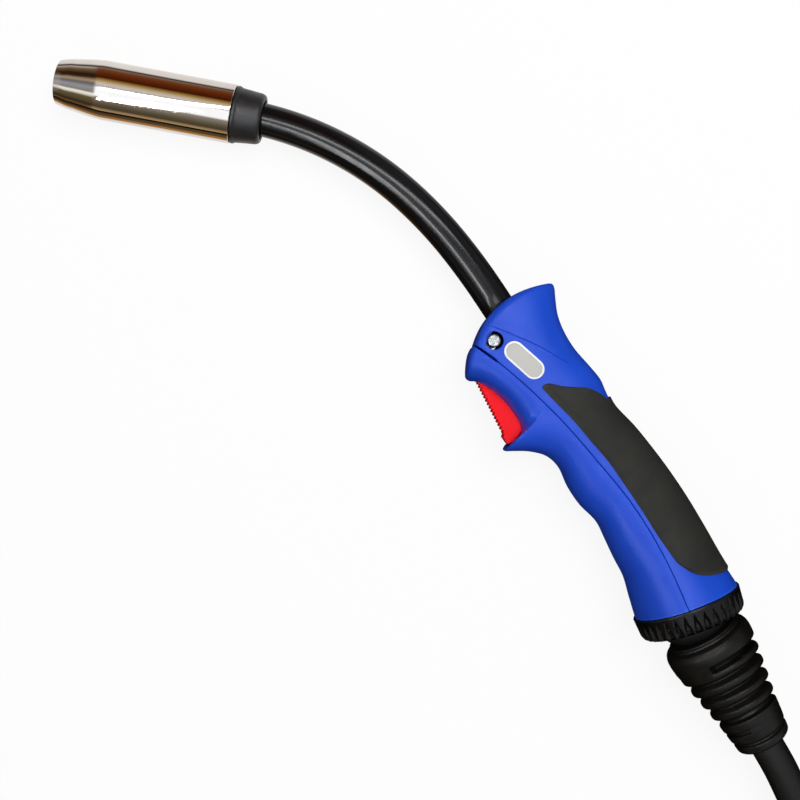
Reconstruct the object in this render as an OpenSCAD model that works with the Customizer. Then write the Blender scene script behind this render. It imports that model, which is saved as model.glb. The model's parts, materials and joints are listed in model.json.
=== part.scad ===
// Hand-held MIG welding torch, air cooled, with its cable and central connector.
// It lies on its side on a bench: +X points to the gas nozzle, +Y is the trigger's side, +Z is up.
// The torch itself is drawn in its own flat plane (u, v, with w across it) and then laid on the bench.

/* [Gas nozzle] */
// Length of the gas nozzle
nozzle_length = 84; // [76:1:88]
// Outer diameter of the nozzle's straight part
nozzle_d = 27.8; // [27:0.1:29]
// Outer diameter of the nozzle's front rim
nozzle_front_d = 21; // [20:0.5:23]
// Bore of the nozzle's front
nozzle_bore_d = 17; // [15:0.5:18]

/* [Contact tip] */
// Wire bore of the contact tip
tip_bore_d = 1.2; // [0.8:0.2:1.6]
// Outer diameter of the contact tip
tip_d = 10; // [9:0.5:10]

/* [Swan neck] */
// Outer diameter of the neck's insulating sheath
neck_d = 15.8; // [15:0.1:16]
// Radius of the neck's front bend
neck_front_r = 156; // [150:1:160]
// Heading of the gas nozzle, in degrees towards the trigger's side
nozzle_heading = 31.5; // [30:0.5:33]
// Heading of the neck where it leaves the handle
neck_rear_heading = -14.5; // [-15:0.5:-14]

/* [Handle] */
// Wall thickness of the handle shells
wall = 2.6; // [2:0.1:3]
// Thickness of the soft grip over the handle's back
grip_thick = 1; // [0.8:0.1:1.4]
// Diameter of the handle's round rear end
handle_rear_d = 50; // [49:0.5:50]
// Heading of the handle's rear end
handle_rear_heading = -27.5; // [-29:0.5:-26]

/* [Trigger] */
// Width of the trigger
trigger_w = 14.8; // [13:0.2:15]
// Pitch of the ridges on the trigger's face
ridge_pitch = 1.85; // [1.6:0.05:2.2]

/* [Swivel] */
// Diameter of the swivel ball
ball_d = 38; // [37:0.5:38]
// Outer diameter of the grooved handle nut
nut_d = 52; // [51:0.5:53]
// Number of grooves round the handle nut
nut_grooves = 34; // [28:1:36]

/* [Cable] */
// Outer diameter of the cable
cable_d = 16; // [16:0.1:16]
// Distance across the outermost turn of the coil, between centres
coil_across = 218; // [214:1:222]
// Turns of cable in the coil
coil_turns = 4.55; // [4.55:0.01:4.55]

/* [Connector] */
// Largest diameter of the connector's housing
plug_d = 47; // [46:1:50]
// Diameter of the connector's gas and wire spigot
spigot_d = 10; // [9:0.5:11]
// Distance between the two control contacts
contact_spacing = 24; // [22:1:24]

/* [Hidden] */
$fn = 72;

// ---- Places in the torch's plane ----
// Centre of the swivel ball
swivel_uv = [-2, 2.4];
// The neck's lowest point, between its two bends
neck_low = [226, -53.1];
// Length of the straight neck from the last bend to the nozzle's front
nozzle_reach = 95.7;
// Trigger's pivot
trigger_uv = [139, -15];
// Cross screw through the upper shell
screw_uv = [150.1, -28.5];
// Badge on the side of the upper shell
badge_uv = [133.4, -30.6];
badge_size = [21.5, 9.3];

// ---- How the torch lies ----
// Place of the swivel ball's centre on the bench
swivel_at = [-158.1, 17.2, 26.09];
// Nose-down slope of the torch's plane and its roll towards its back
lay_pitch = 1.72;
lay_roll = 5.42;
// Heading and fall of the cable boot, rearwards
boot_heading = 162;
boot_fall = 1;

// ---- The neck's bends ----
neck_front_mid = 28;
neck_tight_r = 60;
neck_rear_r = 200;
neck_rear_mid = -9.5;
neck_easy_r = 320;

function heading(a) = [cos(a), sin(a)];
// Where an arc of radius r ends when its heading changes from a to b
function bend_end(start, r, a, b) = start + r * [sin(b) - sin(a), cos(a) - cos(b)];

bend_front = bend_end(neck_low, neck_front_r, 0, neck_front_mid);
bend_tight = bend_end(bend_front, neck_tight_r, neck_front_mid, nozzle_heading);
bend_rear = bend_end(neck_low, neck_rear_r, 0, neck_rear_mid);
neck_root = bend_end(bend_rear, neck_easy_r, neck_rear_mid, neck_rear_heading);
nozzle_front = bend_tight + nozzle_reach * heading(nozzle_heading);

// ---- The handle's outline ----
// The seam between the two shells, from the rear to the front
seam = [
    [0.75, 0.97], [5, -0.2], [11, -2.2], [22, -6.2], [34, -10.5], [47, -14.5], [60, -17.7],
    [80, -20.7], [100, -22.2], [120, -22.7], [130, -22.7], [143, -22.2], [156, -20.8]
];
// Half the handle's width along the seam
half_width = [
    [0.75, handle_rear_d / 2], [11, 23.2], [22, 21.5], [34, 19.6], [47, 18.2], [60, 17.3], [80, 17],
    [100, 17.6], [120, 18.5], [145, 18.5], [151, 18.2], [154.2, 17.2], [155.6, 15.4]
];
// Stations of each shell from the front: where it leaves the seam, its outer edge (u, v),
// how far its middle bulges forwards, and how square its section is (2 is an ellipse)
upper_stations = [
    [155.5, 149.4, -65.4, 6.8, 2.6], [154.3, 147.6, -67.5, 6.6, 2.6], [151, 145.2, -66.8, 6, 2.6],
    [145, 141, -62.9, 4, 2.5], [138, 135.5, -58.3, 2, 2.4], [129, 128, -54.5, 0.6, 2.4],
    [119, 119, -51.9, 0, 2.4], [109, 109, -50.7, 0, 2.4], [101, 101, -49.5, 0, 2.4],
    [95, 95, -46.9, 0, 2.4], [87, 87, -44, 0, 2.4], [74, 74, -43, 0, 2.3],
    [60, 60, -40.8, 0, 2.3], [47, 47, -38.2, 0, 2.2], [34, 33, -34.7, 0, 2.1],
    [22, 18, -30, 0, 2.05], [11, 3, -25, 0, 2], [0.75, -10.79, -21.21, 0, 2]
];
lower_stations = [
    [155.4, 150.3, -11, 1, 2.6], [154.2, 148.2, -7.9, 0.8, 2.6], [151, 146, -7.6, 0.4, 2.5],
    [146, 143.4, -9, 0, 2.4], [138, 137, -10.6, 0, 2.4], [129, 128, -11, 0, 2.4],
    [120, 119.5, -9.4, 0, 2.4], [115, 114.3, -7.6, 0, 2.5], [112.6, 111.6, -4.5, 0, 2.8],
    [111.4, 111.8, 1, 0, 3], [110.2, 112.3, 5, 0, 3.2], [108.8, 111.2, 5.6, 0, 3.2],
    [106, 108.2, 2.9, 0, 3], [101, 102.5, -1.9, 0, 2.6], [94, 95, -5.7, 0, 2.4],
    [86, 87, -5.6, 0, 2.4], [77, 78, -1.7, 0, 2.3], [67, 68, 0.8, 0, 2.3],
    [56, 57, 1.5, 0, 2.2], [46, 48, 5, 0, 2.2], [35, 39, 8.8, 0, 2.1], [24, 30, 12.2, 0, 2.05],
    [13, 22, 17.2, 0, 2], [0.75, 12.29, 23.15, 0, 2]
];
// Half the gap between the two shells along the seam
seam_gap = 0.12;
// Columns across a shell, and the inner wall's first station behind the front
shell_columns = 16;
front_wall_station = 1.9;

// ---- Smooth surfaces from stations ----
function mix(a, b, t) = a + (b - a) * t;
// A point on the smooth curve through four neighbours, t from the second to the third
function spline(a, b, c, d, t) =
    0.5 * (2 * b + (c - a) * t + (2 * a - 5 * b + 4 * c - d) * t * t
        + (3 * b - a - 3 * c + d) * t * t * t);
function station(list, x) =
    let (last = len(list) - 1, i = min(floor(x), last - 1))
    spline(list[max(i - 1, 0)], list[i], list[i + 1], list[min(i + 2, last)], x - i);
// A point of a shell's section at angle a, from 0 on the seam through 90 at its edge to 180
function shell_point(s, a, inset, gap) =
    let (
        root = [s[0], lookup(s[0], seam) + gap],
        chord = [s[1], s[2]] - root,
        rise = pow(abs(sin(a)), 2 / s[4]) * (1 - inset / norm(chord)),
        across = (lookup(s[0], half_width) - inset) * pow(abs(cos(a)), 2 / s[4]),
        at = root + chord * rise + [s[3] * 4 * rise * (1 - rise), 0]
    )
    [at[0], at[1], a < 90 ? across : -across];

// ---- Meshes from grids of points ----
function quad(a, b, c, d) = [[a, b, c], [a, c, d]];
function sheet_faces(rows, columns, start, flip) = [
    for (i = [0:rows - 2], j = [0:columns - 2])
        let (a = start + i * columns + j, b = a + columns)
        each flip ? quad(a, b, b + 1, a + 1) : quad(a, a + 1, b + 1, b)
];
// The edge of a grid as a closed loop of point numbers
function rim(rows, columns) = [
    for (j = [0:columns - 2]) j,
    for (i = [0:rows - 2]) i * columns + columns - 1,
    for (j = [columns - 1:-1:1]) (rows - 1) * columns + j,
    for (i = [rows - 1:-1:1]) i * columns
];
function rim_faces(loop, far) = [
    for (k = [0:len(loop) - 1])
        let (a = loop[k], b = loop[(k + 1) % len(loop)])
        each quad(a, a + far, b + far, b)
];
// A wall between two grids of the same size
module walled_sheet(outer, inner) {
    rows = len(outer);
    columns = len(outer[0]);
    count = rows * columns;
    polyhedron(
        points = [for (row = outer) each row, for (row = inner) each row],
        faces = concat(
            sheet_faces(rows, columns, 0, false),
            sheet_faces(rows, columns, count, true),
            rim_faces(rim(rows, columns), count)
        )
    );
}

// A shell: a wall between two grids, closed by a front wall and open at the seam and the rear.
// The columns run from one side of the seam to the other, starting on the side given.
module shell(stations, gap, steps, side) {
    rows = (len(stations) - 1) * steps + 1;
    n = shell_columns + 1;
    count = rows * n;
    start = side > 0 ? 0 : 180;
    angles = [for (j = [0:shell_columns]) start + side * j * 180 / shell_columns];
    polyhedron(
        points = [
            for (i = [0:rows - 1])
                let (s = station(stations, i / steps))
                for (a = angles) shell_point(s, a, 0, gap),
            for (i = [0:rows - 1])
                let (s = station(stations, mix(front_wall_station, len(stations) - 1, i / (rows - 1))))
                for (a = angles) shell_point(s, a, wall, gap)
        ],
        faces = concat(
            sheet_faces(rows, n, 0, false),
            sheet_faces(rows, n, count, true),
            cap_faces(n, 0, false),
            cap_faces(n, count, true),
            rim_faces(
                concat(
                    [for (i = [0:rows - 2]) i * n + n - 1],
                    [for (j = [n - 1:-1:1]) (rows - 1) * n + j],
                    [for (i = [rows - 1:-1:0]) i * n]
                ),
                count
            )
        )
    );
}
// The front wall: the first row's points joined straight across
function cap_faces(n, start, flip) = [
    for (j = [0:(n - 3) / 2])
        let (a = start + j, b = start + n - 1 - j)
        each b - a == 2
            ? [flip ? [a, a + 1, b] : [a, b, a + 1]]
            : (flip ? quad(a, a + 1, b - 1, b) : quad(a, b, b - 1, a + 1))
];

// ---- Tubes along paths ----
function unit(v) = v / norm(v);
function tube_points(path, section) =
    let (last = len(path) - 1)
    [
        for (i = [0:last])
            let (
                along = unit(path[min(i + 1, last)] - path[max(i - 1, 0)]),
                side = unit(cross([0, 0, 1], along)),
                lift = cross(along, side)
            )
            for (s = section) path[i] + side * s[0] + lift * s[1]
    ];
function round_section(d, sides) = [
    for (k = [0:sides - 1]) d / 2 * [cos(k * 360 / sides), sin(k * 360 / sides)]
];
function tube_faces(rings, sides, start, flip) = [
    for (i = [0:rings - 2], k = [0:sides - 1])
        let (a = start + i * sides + k, b = start + i * sides + (k + 1) % sides)
        each flip ? quad(a, b, b + sides, a + sides) : quad(a, a + sides, b + sides, b)
];
module tube(path, section) {
    sides = len(section);
    last = (len(path) - 1) * sides;
    polyhedron(
        points = tube_points(path, section),
        faces = concat(
            tube_faces(len(path), sides, 0, false),
            [for (k = [1:sides - 2]) [0, k, k + 1]],
            [for (k = [1:sides - 2]) [last, last + k + 1, last + k]]
        )
    );
}

// ---- Placing ----
// Lays the torch's plane on the bench, with the swivel ball's centre at its place
module on_bench() {
    translate(swivel_at) rotate([lay_roll, lay_pitch, 0])
        translate([-swivel_uv[0], -swivel_uv[1], 0]) children();
}
// Local +Z along a heading of the torch's plane
module along(at, turn) {
    translate([at[0], at[1], 0]) rotate([0, 0, turn]) rotate([0, 90, 0]) children();
}
// Local +Z forwards, with 0 at the nozzle's front
module at_nozzle() { on_bench() along(nozzle_front, nozzle_heading) children(); }
// Local +Z forwards, with 0 where the neck's last bend ends by the handle
module at_neck_root() { on_bench() along(neck_root, neck_rear_heading) children(); }
// Local +Z rearwards along the handle's rear end, with 0 at the swivel's centre
module at_handle_rear() { on_bench() along(swivel_uv, handle_rear_heading + 180) children(); }
// Local +Z rearwards along the boot, with 0 at the swivel's centre
module at_boot() {
    translate(swivel_at) rotate([0, boot_fall, boot_heading]) rotate([0, 90, 0]) children();
}
// Drawn across the torch's plane: local Z is w
module across(uv) { on_bench() translate([uv[0], uv[1], 0]) children(); }

module turned(profile) { rotate_extrude() polygon(profile); }
module ring(outer, inner, low, high) {
    translate([0, 0, low]) difference() {
        cylinder(r = outer, h = high - low);
        translate([0, 0, -1]) cylinder(r = inner, h = high - low + 2);
    }
}
module rod(radius, low, high) { translate([0, 0, low]) cylinder(r = radius, h = high - low); }

// ---- Neck ----
// A wall between two round tubes along one path
module pipe(path, outer, inner, sides) {
    far = len(path) * sides;
    last = far - sides;
    polyhedron(
        points = concat(
            tube_points(path, round_section(2 * outer, sides)),
            tube_points(path, round_section(2 * inner, sides))
        ),
        faces = concat(
            tube_faces(len(path), sides, 0, false),
            tube_faces(len(path), sides, far, true),
            [
                for (k = [0:sides - 1])
                    let (m = (k + 1) % sides)
                    each concat(
                        quad(k, m, far + m, far + k),
                        quad(last + k, last + far + k, last + far + m, last + m)
                    )
            ]
        )
    );
}
// The neck's centreline from the handle to the nozzle, with straight ends
function neck_path(front_length, rear_length) = [
    for (p = concat(
        [neck_root - rear_length * heading(neck_rear_heading)],
        [for (k = [0:3]) bend_end(bend_rear, neck_easy_r, neck_rear_mid,
            mix(neck_rear_heading, neck_rear_mid, k / 4))],
        [for (k = [0:3]) bend_end(neck_low, neck_rear_r, 0, neck_rear_mid * (1 - k / 4))],
        [for (k = [0:9]) bend_end(neck_low, neck_front_r, 0, neck_front_mid * k / 10)],
        [bend_front, bend_tight, bend_tight + front_length * heading(nozzle_heading)]
    ))
    [p[0], p[1], 0]
];

tube_r = 6.1;
liner_r = 2.2;
sheath_bore_r = 6.2;

module neck_sheath() {
    color("#15161a") on_bench() pipe(neck_path(nozzle_reach - 87, 34), neck_d / 2, sheath_bore_r, 20);
}
module neck_tube() {
    color("#b5823c") on_bench() pipe(neck_path(nozzle_reach - 62, 44), tube_r, 3.5, 12);
}
module wire_liner() {
    color("#c8ccd0") on_bench() pipe(neck_path(nozzle_reach - 38.4, 58), liner_r, 1, 8);
}

// ---- Nozzle end; heights are counted back from the nozzle's front ----
module gas_nozzle() {
    r = nozzle_d / 2;
    rim_r = nozzle_front_d / 2;
    bore_r = nozzle_bore_d / 2;
    seat_r = 11.6;
    color("#c9b8a0") at_nozzle() turned([
        [bore_r, -0.5], [bore_r + 0.5, 0], [rim_r - 0.6, 0], [rim_r, -0.6],
        [mix(rim_r, r, 0.33), -5], [mix(rim_r, r, 0.52), -9], [mix(rim_r, r, 0.7), -13],
        [mix(rim_r, r, 0.87), -17], [r, -21], [r, -nozzle_length + 0.5],
        [r - 0.5, -nozzle_length], [seat_r, -nozzle_length], [seat_r, -30], [bore_r, -14]
    ]);
}
module neck_collar() {
    color("#242528") at_nozzle() turned([
        [sheath_bore_r, -64], [11.3, -64], [11.3, -76], [10.2, -76], [10.2, -82],
        [11.3, -82], [11.3, -84.3], [13.5, -84.3], [13.5, -85.4], [12.9, -86.3],
        [12, -96.6], [11.1, -98], [9.4, -98], [9.4, -96.5], [8.5, -96.2],
        [8.1, -92], [8.1, -86.95], [sheath_bore_r, -86.95]
    ]);
}
module nozzle_spring() {
    color("#9aa0a6") at_nozzle() translate([0, 0, -81.5])
        rotate_extrude(angle = 330) translate([10.25, 0]) square([1.25, 5]);
}
module gas_diffuser() {
    color("#e8e4da") at_nozzle() difference() {
        ring(10.8, 6.2, -62, -37);
        for (k = [0:7]) rotate([0, 0, k * 45]) translate([5, 0, -43]) rotate([0, 90, 0])
            cylinder(d = 2.6, h = 8);
    }
}
module tip_holder() {
    color("#b87333") at_nozzle() difference() {
        union() {
            rod(6.05, -61.5, -36);
            translate([0, 0, -36]) cylinder(r = 6.6, h = 6, $fn = 6);
            rod(3.3, -70, -61);
        }
        rod(2.45, -71, -29);
        rod(4.05, -38.2, -29);
        for (k = [0:3]) rotate([0, 0, k * 90]) translate([2, 0, -43]) rotate([0, 90, 0])
            cylinder(d = 2.4, h = 6);
    }
}
module contact_tip() {
    color("#c77f4f") at_nozzle() difference() {
        turned([
            [0, -2], [3.1, -2], [tip_d / 2, -8], [tip_d / 2, -29.9],
            [3.95, -29.9], [3.95, -37.5], [0, -37.5]
        ]);
        rod(tip_bore_d / 2, -39, -1);
        translate([0, 0, -37.6]) cylinder(r1 = 1.8, r2 = tip_bore_d / 2, h = 3);
    }
}

// ---- Handle ----
module neck_opening() { along(neck_root, neck_rear_heading) rod(neck_d / 2 + 0.4, -16, 12); }
module handle_upper_shell() {
    color("#2d4fc8") on_bench() difference() {
        union() {
            shell(upper_stations, -seam_gap, 2, 1);
            translate([screw_uv[0], screw_uv[1], 10.8]) cylinder(r = 5.6, h = 5.6);
        }
        neck_opening();
        translate([screw_uv[0], screw_uv[1], 0]) {
            rod(4.25, 14.6, 20);
            rod(1.75, 0, 20);
            rod(3.5, -20, -14.5);
        }
        translate([badge_uv[0], badge_uv[1], 17.25]) pill(badge_size + [0.4, 0.4], 3);
    }
}
// Slot in the lower shell that the trigger comes through and swings in
module trigger_slot() {
    translate([0, 0, -trigger_w / 2 - 0.5]) linear_extrude(trigger_w + 1) polygon([
        [144.4, -16], [144.4, 0], [112.2, 14], [112.2, 3.3], [109.4, 3.1], [109.4, -16]
    ]);
}
module handle_lower_shell() {
    color("#1f43bd") on_bench() difference() {
        shell(lower_stations, seam_gap, 1, -1);
        trigger_slot();
        translate([trigger_uv[0], trigger_uv[1], -13.4]) cylinder(r = 1.6, h = 26.8);
    }
}
module pill(size, thick) {
    reach = (size[0] - size[1]) / 2;
    linear_extrude(thick) union() {
        square([2 * reach, size[1]], center = true);
        for (side = [-1, 1]) translate([side * reach, 0]) circle(d = size[1]);
    }
}
module badge_plate() {
    color("#c9cacb") across(badge_uv) translate([0, 0, 17.3]) pill(badge_size, 1.3);
}
module handle_screw() {
    color("#d5d7da") across(screw_uv) difference() {
        union() {
            rod(3.2, 14.7, 17.1);
            rod(1.5, -16, 15);
        }
        for (turn = [0, 90]) rotate([0, 0, turn + 20]) translate([-2.6, -0.45, 16]) cube([5.2, 0.9, 2]);
    }
}
module screw_nut() {
    color("#a8adb2") across(screw_uv) difference() {
        translate([0, 0, -14.2]) cylinder(r = 3.2, h = 2.4, $fn = 6);
        rod(1.55, -16, -10);
    }
}

// The soft grip lies over the back of the upper shell. The tables give the stations of its front
// and rear edges, from its low edge at 0 up to the back at 1, and its low edge's rise by station.
grip_rows = 17;
grip_columns = 21;
grip_front = [
    [0, 5.95], [0.08, 6.07], [0.19, 6.75], [0.33, 7.42], [0.45, 8.4], [0.65, 9.25], [1, 9.4]
];
grip_rear = [
    [0, 15.1], [0.06, 15.55], [0.14, 15.85], [0.23, 16.03], [0.33, 16.15], [0.53, 16.28], [1, 16.42]
];
grip_off = 0.15;
grip_low = [
    [6, 0.14], [7, 0.125], [10, 0.115], [11, 0.09], [12, 0.055], [13, 0.045], [14, 0.05], [15, 0.1],
    [15.6, 0.14]
];
function grip_point(i, j, lift) =
    let (
        t = i / (grip_rows - 1),
        c = 2 * min(j, grip_columns - 1 - j) / (grip_columns - 1),
        x = mix(lookup(c, grip_front), lookup(c, grip_rear), t),
        s = station(upper_stations, x),
        low = asin(pow(lookup(x, grip_low), s[4] / 2)),
        a = mix(low, 90, c)
    )
    shell_point(s, 2 * j < grip_columns ? a : 180 - a, -lift, -seam_gap);
function grip_grid(lift) = [
    for (i = [0:grip_rows - 1]) [for (j = [0:grip_columns - 1]) grip_point(i, j, lift)]
];
module soft_grip() {
    color("#2b2b2a") on_bench() walled_sheet(grip_grid(grip_off + grip_thick), grip_grid(grip_off));
}

// Threaded ring that the two shells clamp at the rear, with the swivel's round seat
liner_seat_r = 21.4;
nut_front = -2.9;
nut_length = 11;
module thread_ring() {
    color("#1c3aa8") at_handle_rear() difference() {
        turned([
            [0, -12], [20.3, -12], [21.1, -8], [22, nut_front - 0.2], [22, nut_front],
            [23.1, nut_front], [23.1, 3.2], [0, 3.2]
        ]);
        rod(15.5, -13, 4);
        sphere(r = liner_seat_r);
    }
}
module handle_nut() {
    lip = 7;
    color("#101114") at_handle_rear() difference() {
        turned([
            [0, nut_front], [nut_d / 2 - 0.5, nut_front], [nut_d / 2, nut_front + 0.7],
            [nut_d / 2 - 0.7, nut_front + nut_length - 1.5],
            [nut_d / 2 - 2.2, nut_front + nut_length], [0, nut_front + nut_length]
        ]);
        rod(23.4, nut_front - 1, 3.5);
        intersection() {
            sphere(r = liner_seat_r);
            rod(liner_seat_r + 1, -1, lip);
        }
        rod(18.7, -1, nut_front + nut_length + 1);
        for (k = [0:nut_grooves - 1]) rotate([0, 0, k * 360 / nut_grooves])
            translate([nut_d / 2 + 0.5, 0, nut_front + 1.8]) cylinder(r = 1.5, h = nut_length);
    }
}
module socket_liner() {
    color("#d8d4c8") at_handle_rear() difference() {
        intersection() {
            sphere(r = liner_seat_r - 0.3);
            rod(liner_seat_r, -9, 6.6);
        }
        sphere(r = ball_d / 2 + 0.3);
    }
}

// ---- Neck's seat in the handle; heights are counted back from the neck's last bend ----
module neck_holder() {
    color("#303236") difference() {
        at_neck_root() difference() {
            union() {
                rod(10.2, -36, -17);
                translate([-13.2, -2.5, -34]) cube([26.4, 5, 18]);
            }
            rod(neck_d / 2 + 0.06, -38, -10);
        }
        across(screw_uv) rod(1.75, -20, 20);
    }
}
module neck_block() {
    color("#b5893f") at_neck_root() difference() {
        union() {
            translate([0, 0, -54]) rotate([0, 0, 30]) cylinder(r = 8.7, h = 17.5, $fn = 6);
            rod(7.2, -60, -54);
        }
        rod(liner_r + 0.2, -61, -36);
        rod(tube_r + 0.06, -44.2, -36);
    }
}
power_path = [
    [107.6, -29.55], [100, -27.6], [88, -24.8], [76, -22], [64, -18.9], [52, -15.6],
    [42, -12.4], [33, -9], [25, -5.6], [19.5, -2.9]
];
module power_lead() {
    color("#1b1b1d") on_bench()
        tube([for (p = power_path) [p[0] - 0.2, p[1] + 0.05, 0]], round_section(12, 12));
}

// ---- Trigger and switch ----
trigger_tip = [143, -9.5];
trigger_heel = [117.1, 0.4];
trigger_teeth = round(norm(trigger_heel - trigger_tip) / ridge_pitch);
// Where the spring's pocket starts across the trigger
spring_low = 4.9;
module trigger() {
    step = (trigger_heel - trigger_tip) / trigger_teeth;
    out = unit([-step[1], step[0]]) * -0.8;
    color("#f5232f") across([0, 0]) difference() {
        translate([0, 0, -trigger_w / 2]) linear_extrude(trigger_w) polygon(concat(
            [for (k = [0:trigger_teeth - 1]) each [
                trigger_tip + step * k, trigger_tip + step * (k + 0.35) + out,
                trigger_tip + step * (k + 0.7) + out
            ]],
            [
                trigger_heel, [116.6, 1.6], [112.8, 2.5], [112, -3], [112.4, -8.5], [114.5, -11.6],
                [120, -13.6], [128.5, -14.45], [134.9, -15.2], [135.7, -17.2], [137.4, -18.6],
                [139.6, -18.9], [142, -17.9], [143.4, -16], [143.9, -13]
            ]
        ));
        translate([trigger_uv[0], trigger_uv[1], 0]) {
            rod(1.6, -trigger_w, trigger_w);
            rod(3, spring_low, trigger_w);
        }
    }
}
module trigger_pin() {
    color("#b9bdc2") across(trigger_uv) rod(1.52, -13, 13);
}
module trigger_spring() {
    color("#8f949a") across(trigger_uv) ring(2.7, 1.75, spring_low + 0.3, trigger_w / 2 - 0.1);
}
switch_low = [122, -22.6];
switch_size = [12.8, 6.5, 5.8];
plunger_u = 128.5;
plunger_face = -14.65;
module microswitch() {
    color("#1d1d1f") across(switch_low) difference() {
        translate([0, 0, -switch_size[2] / 2]) cube(switch_size);
        for (u = [3.1, 9.7]) translate([u, 1.6, -5]) cylinder(r = 1, h = 10);
        translate([plunger_u - switch_low[0], switch_size[1] + 1, 0])
            rotate([90, 0, 0]) cylinder(r = 1.4, h = 4);
    }
}
module switch_plunger() {
    color("#c8322c") across([plunger_u, plunger_face]) rotate([90, 0, 0]) cylinder(r = 1.2, h = 2.8);
}
module switch_carrier() {
    color("#3b3d41") across([0, 0]) difference() {
        union() {
            translate([121, -24.1, -15.2]) cube([14, 1.4, 30.4]);
            for (side = [-1, 1]) translate([121, -22.8, side * 3.85 - 0.75]) cube([14, 5.6, 1.5]);
        }
        for (u = [3.1, 9.7]) translate([switch_low[0] + u, switch_low[1] + 1.6, -5])
            cylinder(r = 1, h = 10);
    }
}
leads_path = [
    [121.8, -19.4], [112, -19.2], [100, -17.8], [88, -15.6], [76, -12.6], [64, -9.6], [52, -6.4],
    [42, -3.2], [33, 0], [26, 3]
];
module switch_leads() {
    color("#a33") on_bench() for (side = [-1.3, 1.3])
        tube([for (p = leads_path) [p[0], p[1], side]], round_section(1.6, 8));
}

// ---- Swivel ball and boot; heights are counted rearwards from the swivel's centre ----
boot_length = 75;
ball_stub_r = 12.4;
module swivel_ball() {
    color("#17181b") at_boot() difference() {
        union() {
            intersection() {
                sphere(r = ball_d / 2);
                rod(ball_d / 2, -12, 13.5);
            }
            rod(ball_stub_r, 12, 25.8);
        }
        rod(cable_d / 2 + 0.6, -13, 27);
        translate([0, 0, -12.1]) cylinder(r1 = 12.5, r2 = cable_d / 2 + 0.6, h = 9);
    }
}
rib_first = 32.8;
rib_pitch = 6.5;
rib_count = 4;
function rib_r(a) = 19.9 - 0.178 * (a - rib_first);
module bend_boot() {
    color("#1b1a19") at_boot() difference() {
        turned(concat(
            [[0, 14], [15.5, 14], [19, 16], [21, 18.4], [21.4, 23], [20.5, 29.4], [17, 30.2]],
            [for (k = [0:rib_count - 1]) let (a = rib_first + k * rib_pitch) each [
                [rib_r(a) - 3.4, a - 2.3], [rib_r(a), a - 1.7],
                [rib_r(a) - 0.3, a + 1.8], [rib_r(a) - 3.6, a + 2.4]
            ]],
            [
                [12.8, 56], [15.4, 57], [14, 67.4], [12.2, 68.2], [12.2, 69.3], [13.6, 70],
                [13.2, 73.4], [11.4, boot_length], [0, boot_length]
            ]
        ));
        rod(ball_stub_r + 0.3, 13, 26.2);
        rod(cable_d / 2 + 0.1, 20, boot_length + 1);
    }
}
module cable_entry() {
    color("#1d1c1c") at_boot() rod(cable_d / 2, -11, boot_length);
}

// ---- Cable on the bench ----
function rearwards(a, fall) = [cos(a) * cos(fall), sin(a) * cos(fall), -sin(fall)];
boot_way = rearwards(boot_heading, boot_fall);
cable_start = swivel_at + boot_length * boot_way;
// Coil: two layers, winding in along the bench and out again on top
coil_centre = [-389.6, -22.4];
coil_entry = boot_heading - 90;
turn_pitch = cable_d + 0.9;
layer_rise = 16.4;
tie_thick = 1.2;
coil_low = tie_thick + 7.9;
rings_a_turn = 24;
coil_half = coil_turns / 2;
coil_in_r = coil_across / 2 - turn_pitch * coil_half;
function coil_radius(t) = coil_in_r + turn_pitch * abs(t - coil_half);
function coil_height(t) =
    coil_low + layer_rise * (t < coil_half - 0.25 ? 0 : t > coil_half + 0.25 ? 1
        : 0.5 + 0.5 * sin((t - coil_half) * 360));
function coil_point(t) =
    let (a = coil_entry + 360 * t, r = coil_radius(t))
    [coil_centre[0] + r * cos(a), coil_centre[1] + r * sin(a), coil_height(t)];
coil_rings = round(coil_turns * rings_a_turn);
coil_start = coil_point(0);
coil_end = coil_point(coil_turns);
// Both ends leave the coil straight and square for one diameter
function flat_way(a) = [cos(a), sin(a), 0];
coil_in_way = flat_way(boot_heading);
coil_out_way = flat_way(coil_entry + 360 * coil_turns + 90);
coil_path = concat(
    [coil_start - cable_d * coil_in_way],
    [for (i = [0:coil_rings]) coil_point(coil_turns * i / coil_rings)],
    [coil_end + cable_d * coil_out_way]
);
// Six sides, as wide as the cable and flat below
coil_section = [
    for (k = [0:5]) [(cable_d / 2 + 0.2) * cos(60 * k), (cable_d / 2 + 1.12) * sin(60 * k)]
];

// The cable falls from the boot to the bench and runs to the coil
cable_route = [[-262, 51, 23], [-279, 56.5, 19], [-296, 62, 14.3], [-314, 67.9, 10.3]];
module cable() {
    color("#1b1b1c") tube(
        concat(
            [cable_start, cable_start + cable_d * boot_way], cable_route,
            [coil_start - (cable_d + 14) * coil_in_way, coil_start - cable_d * coil_in_way]
        ),
        round_section(cable_d, 12)
    );
}
coil_points = tube_points(coil_path, coil_section);
// The least distance between points of the coil's tube that are over half a turn apart
coil_gap = min([
    for (i = [0:2:len(coil_path) - 1], j = [i + 13:len(coil_path) - 1], k = [0:5], m = [0:5])
        norm(coil_points[6 * i + k] - coil_points[6 * j + m])
]);
module cable_coil() {
    echo(coil_least_gap_mm = coil_gap);
    color("#1e1e1f") tube(coil_path, coil_section);
}
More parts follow.
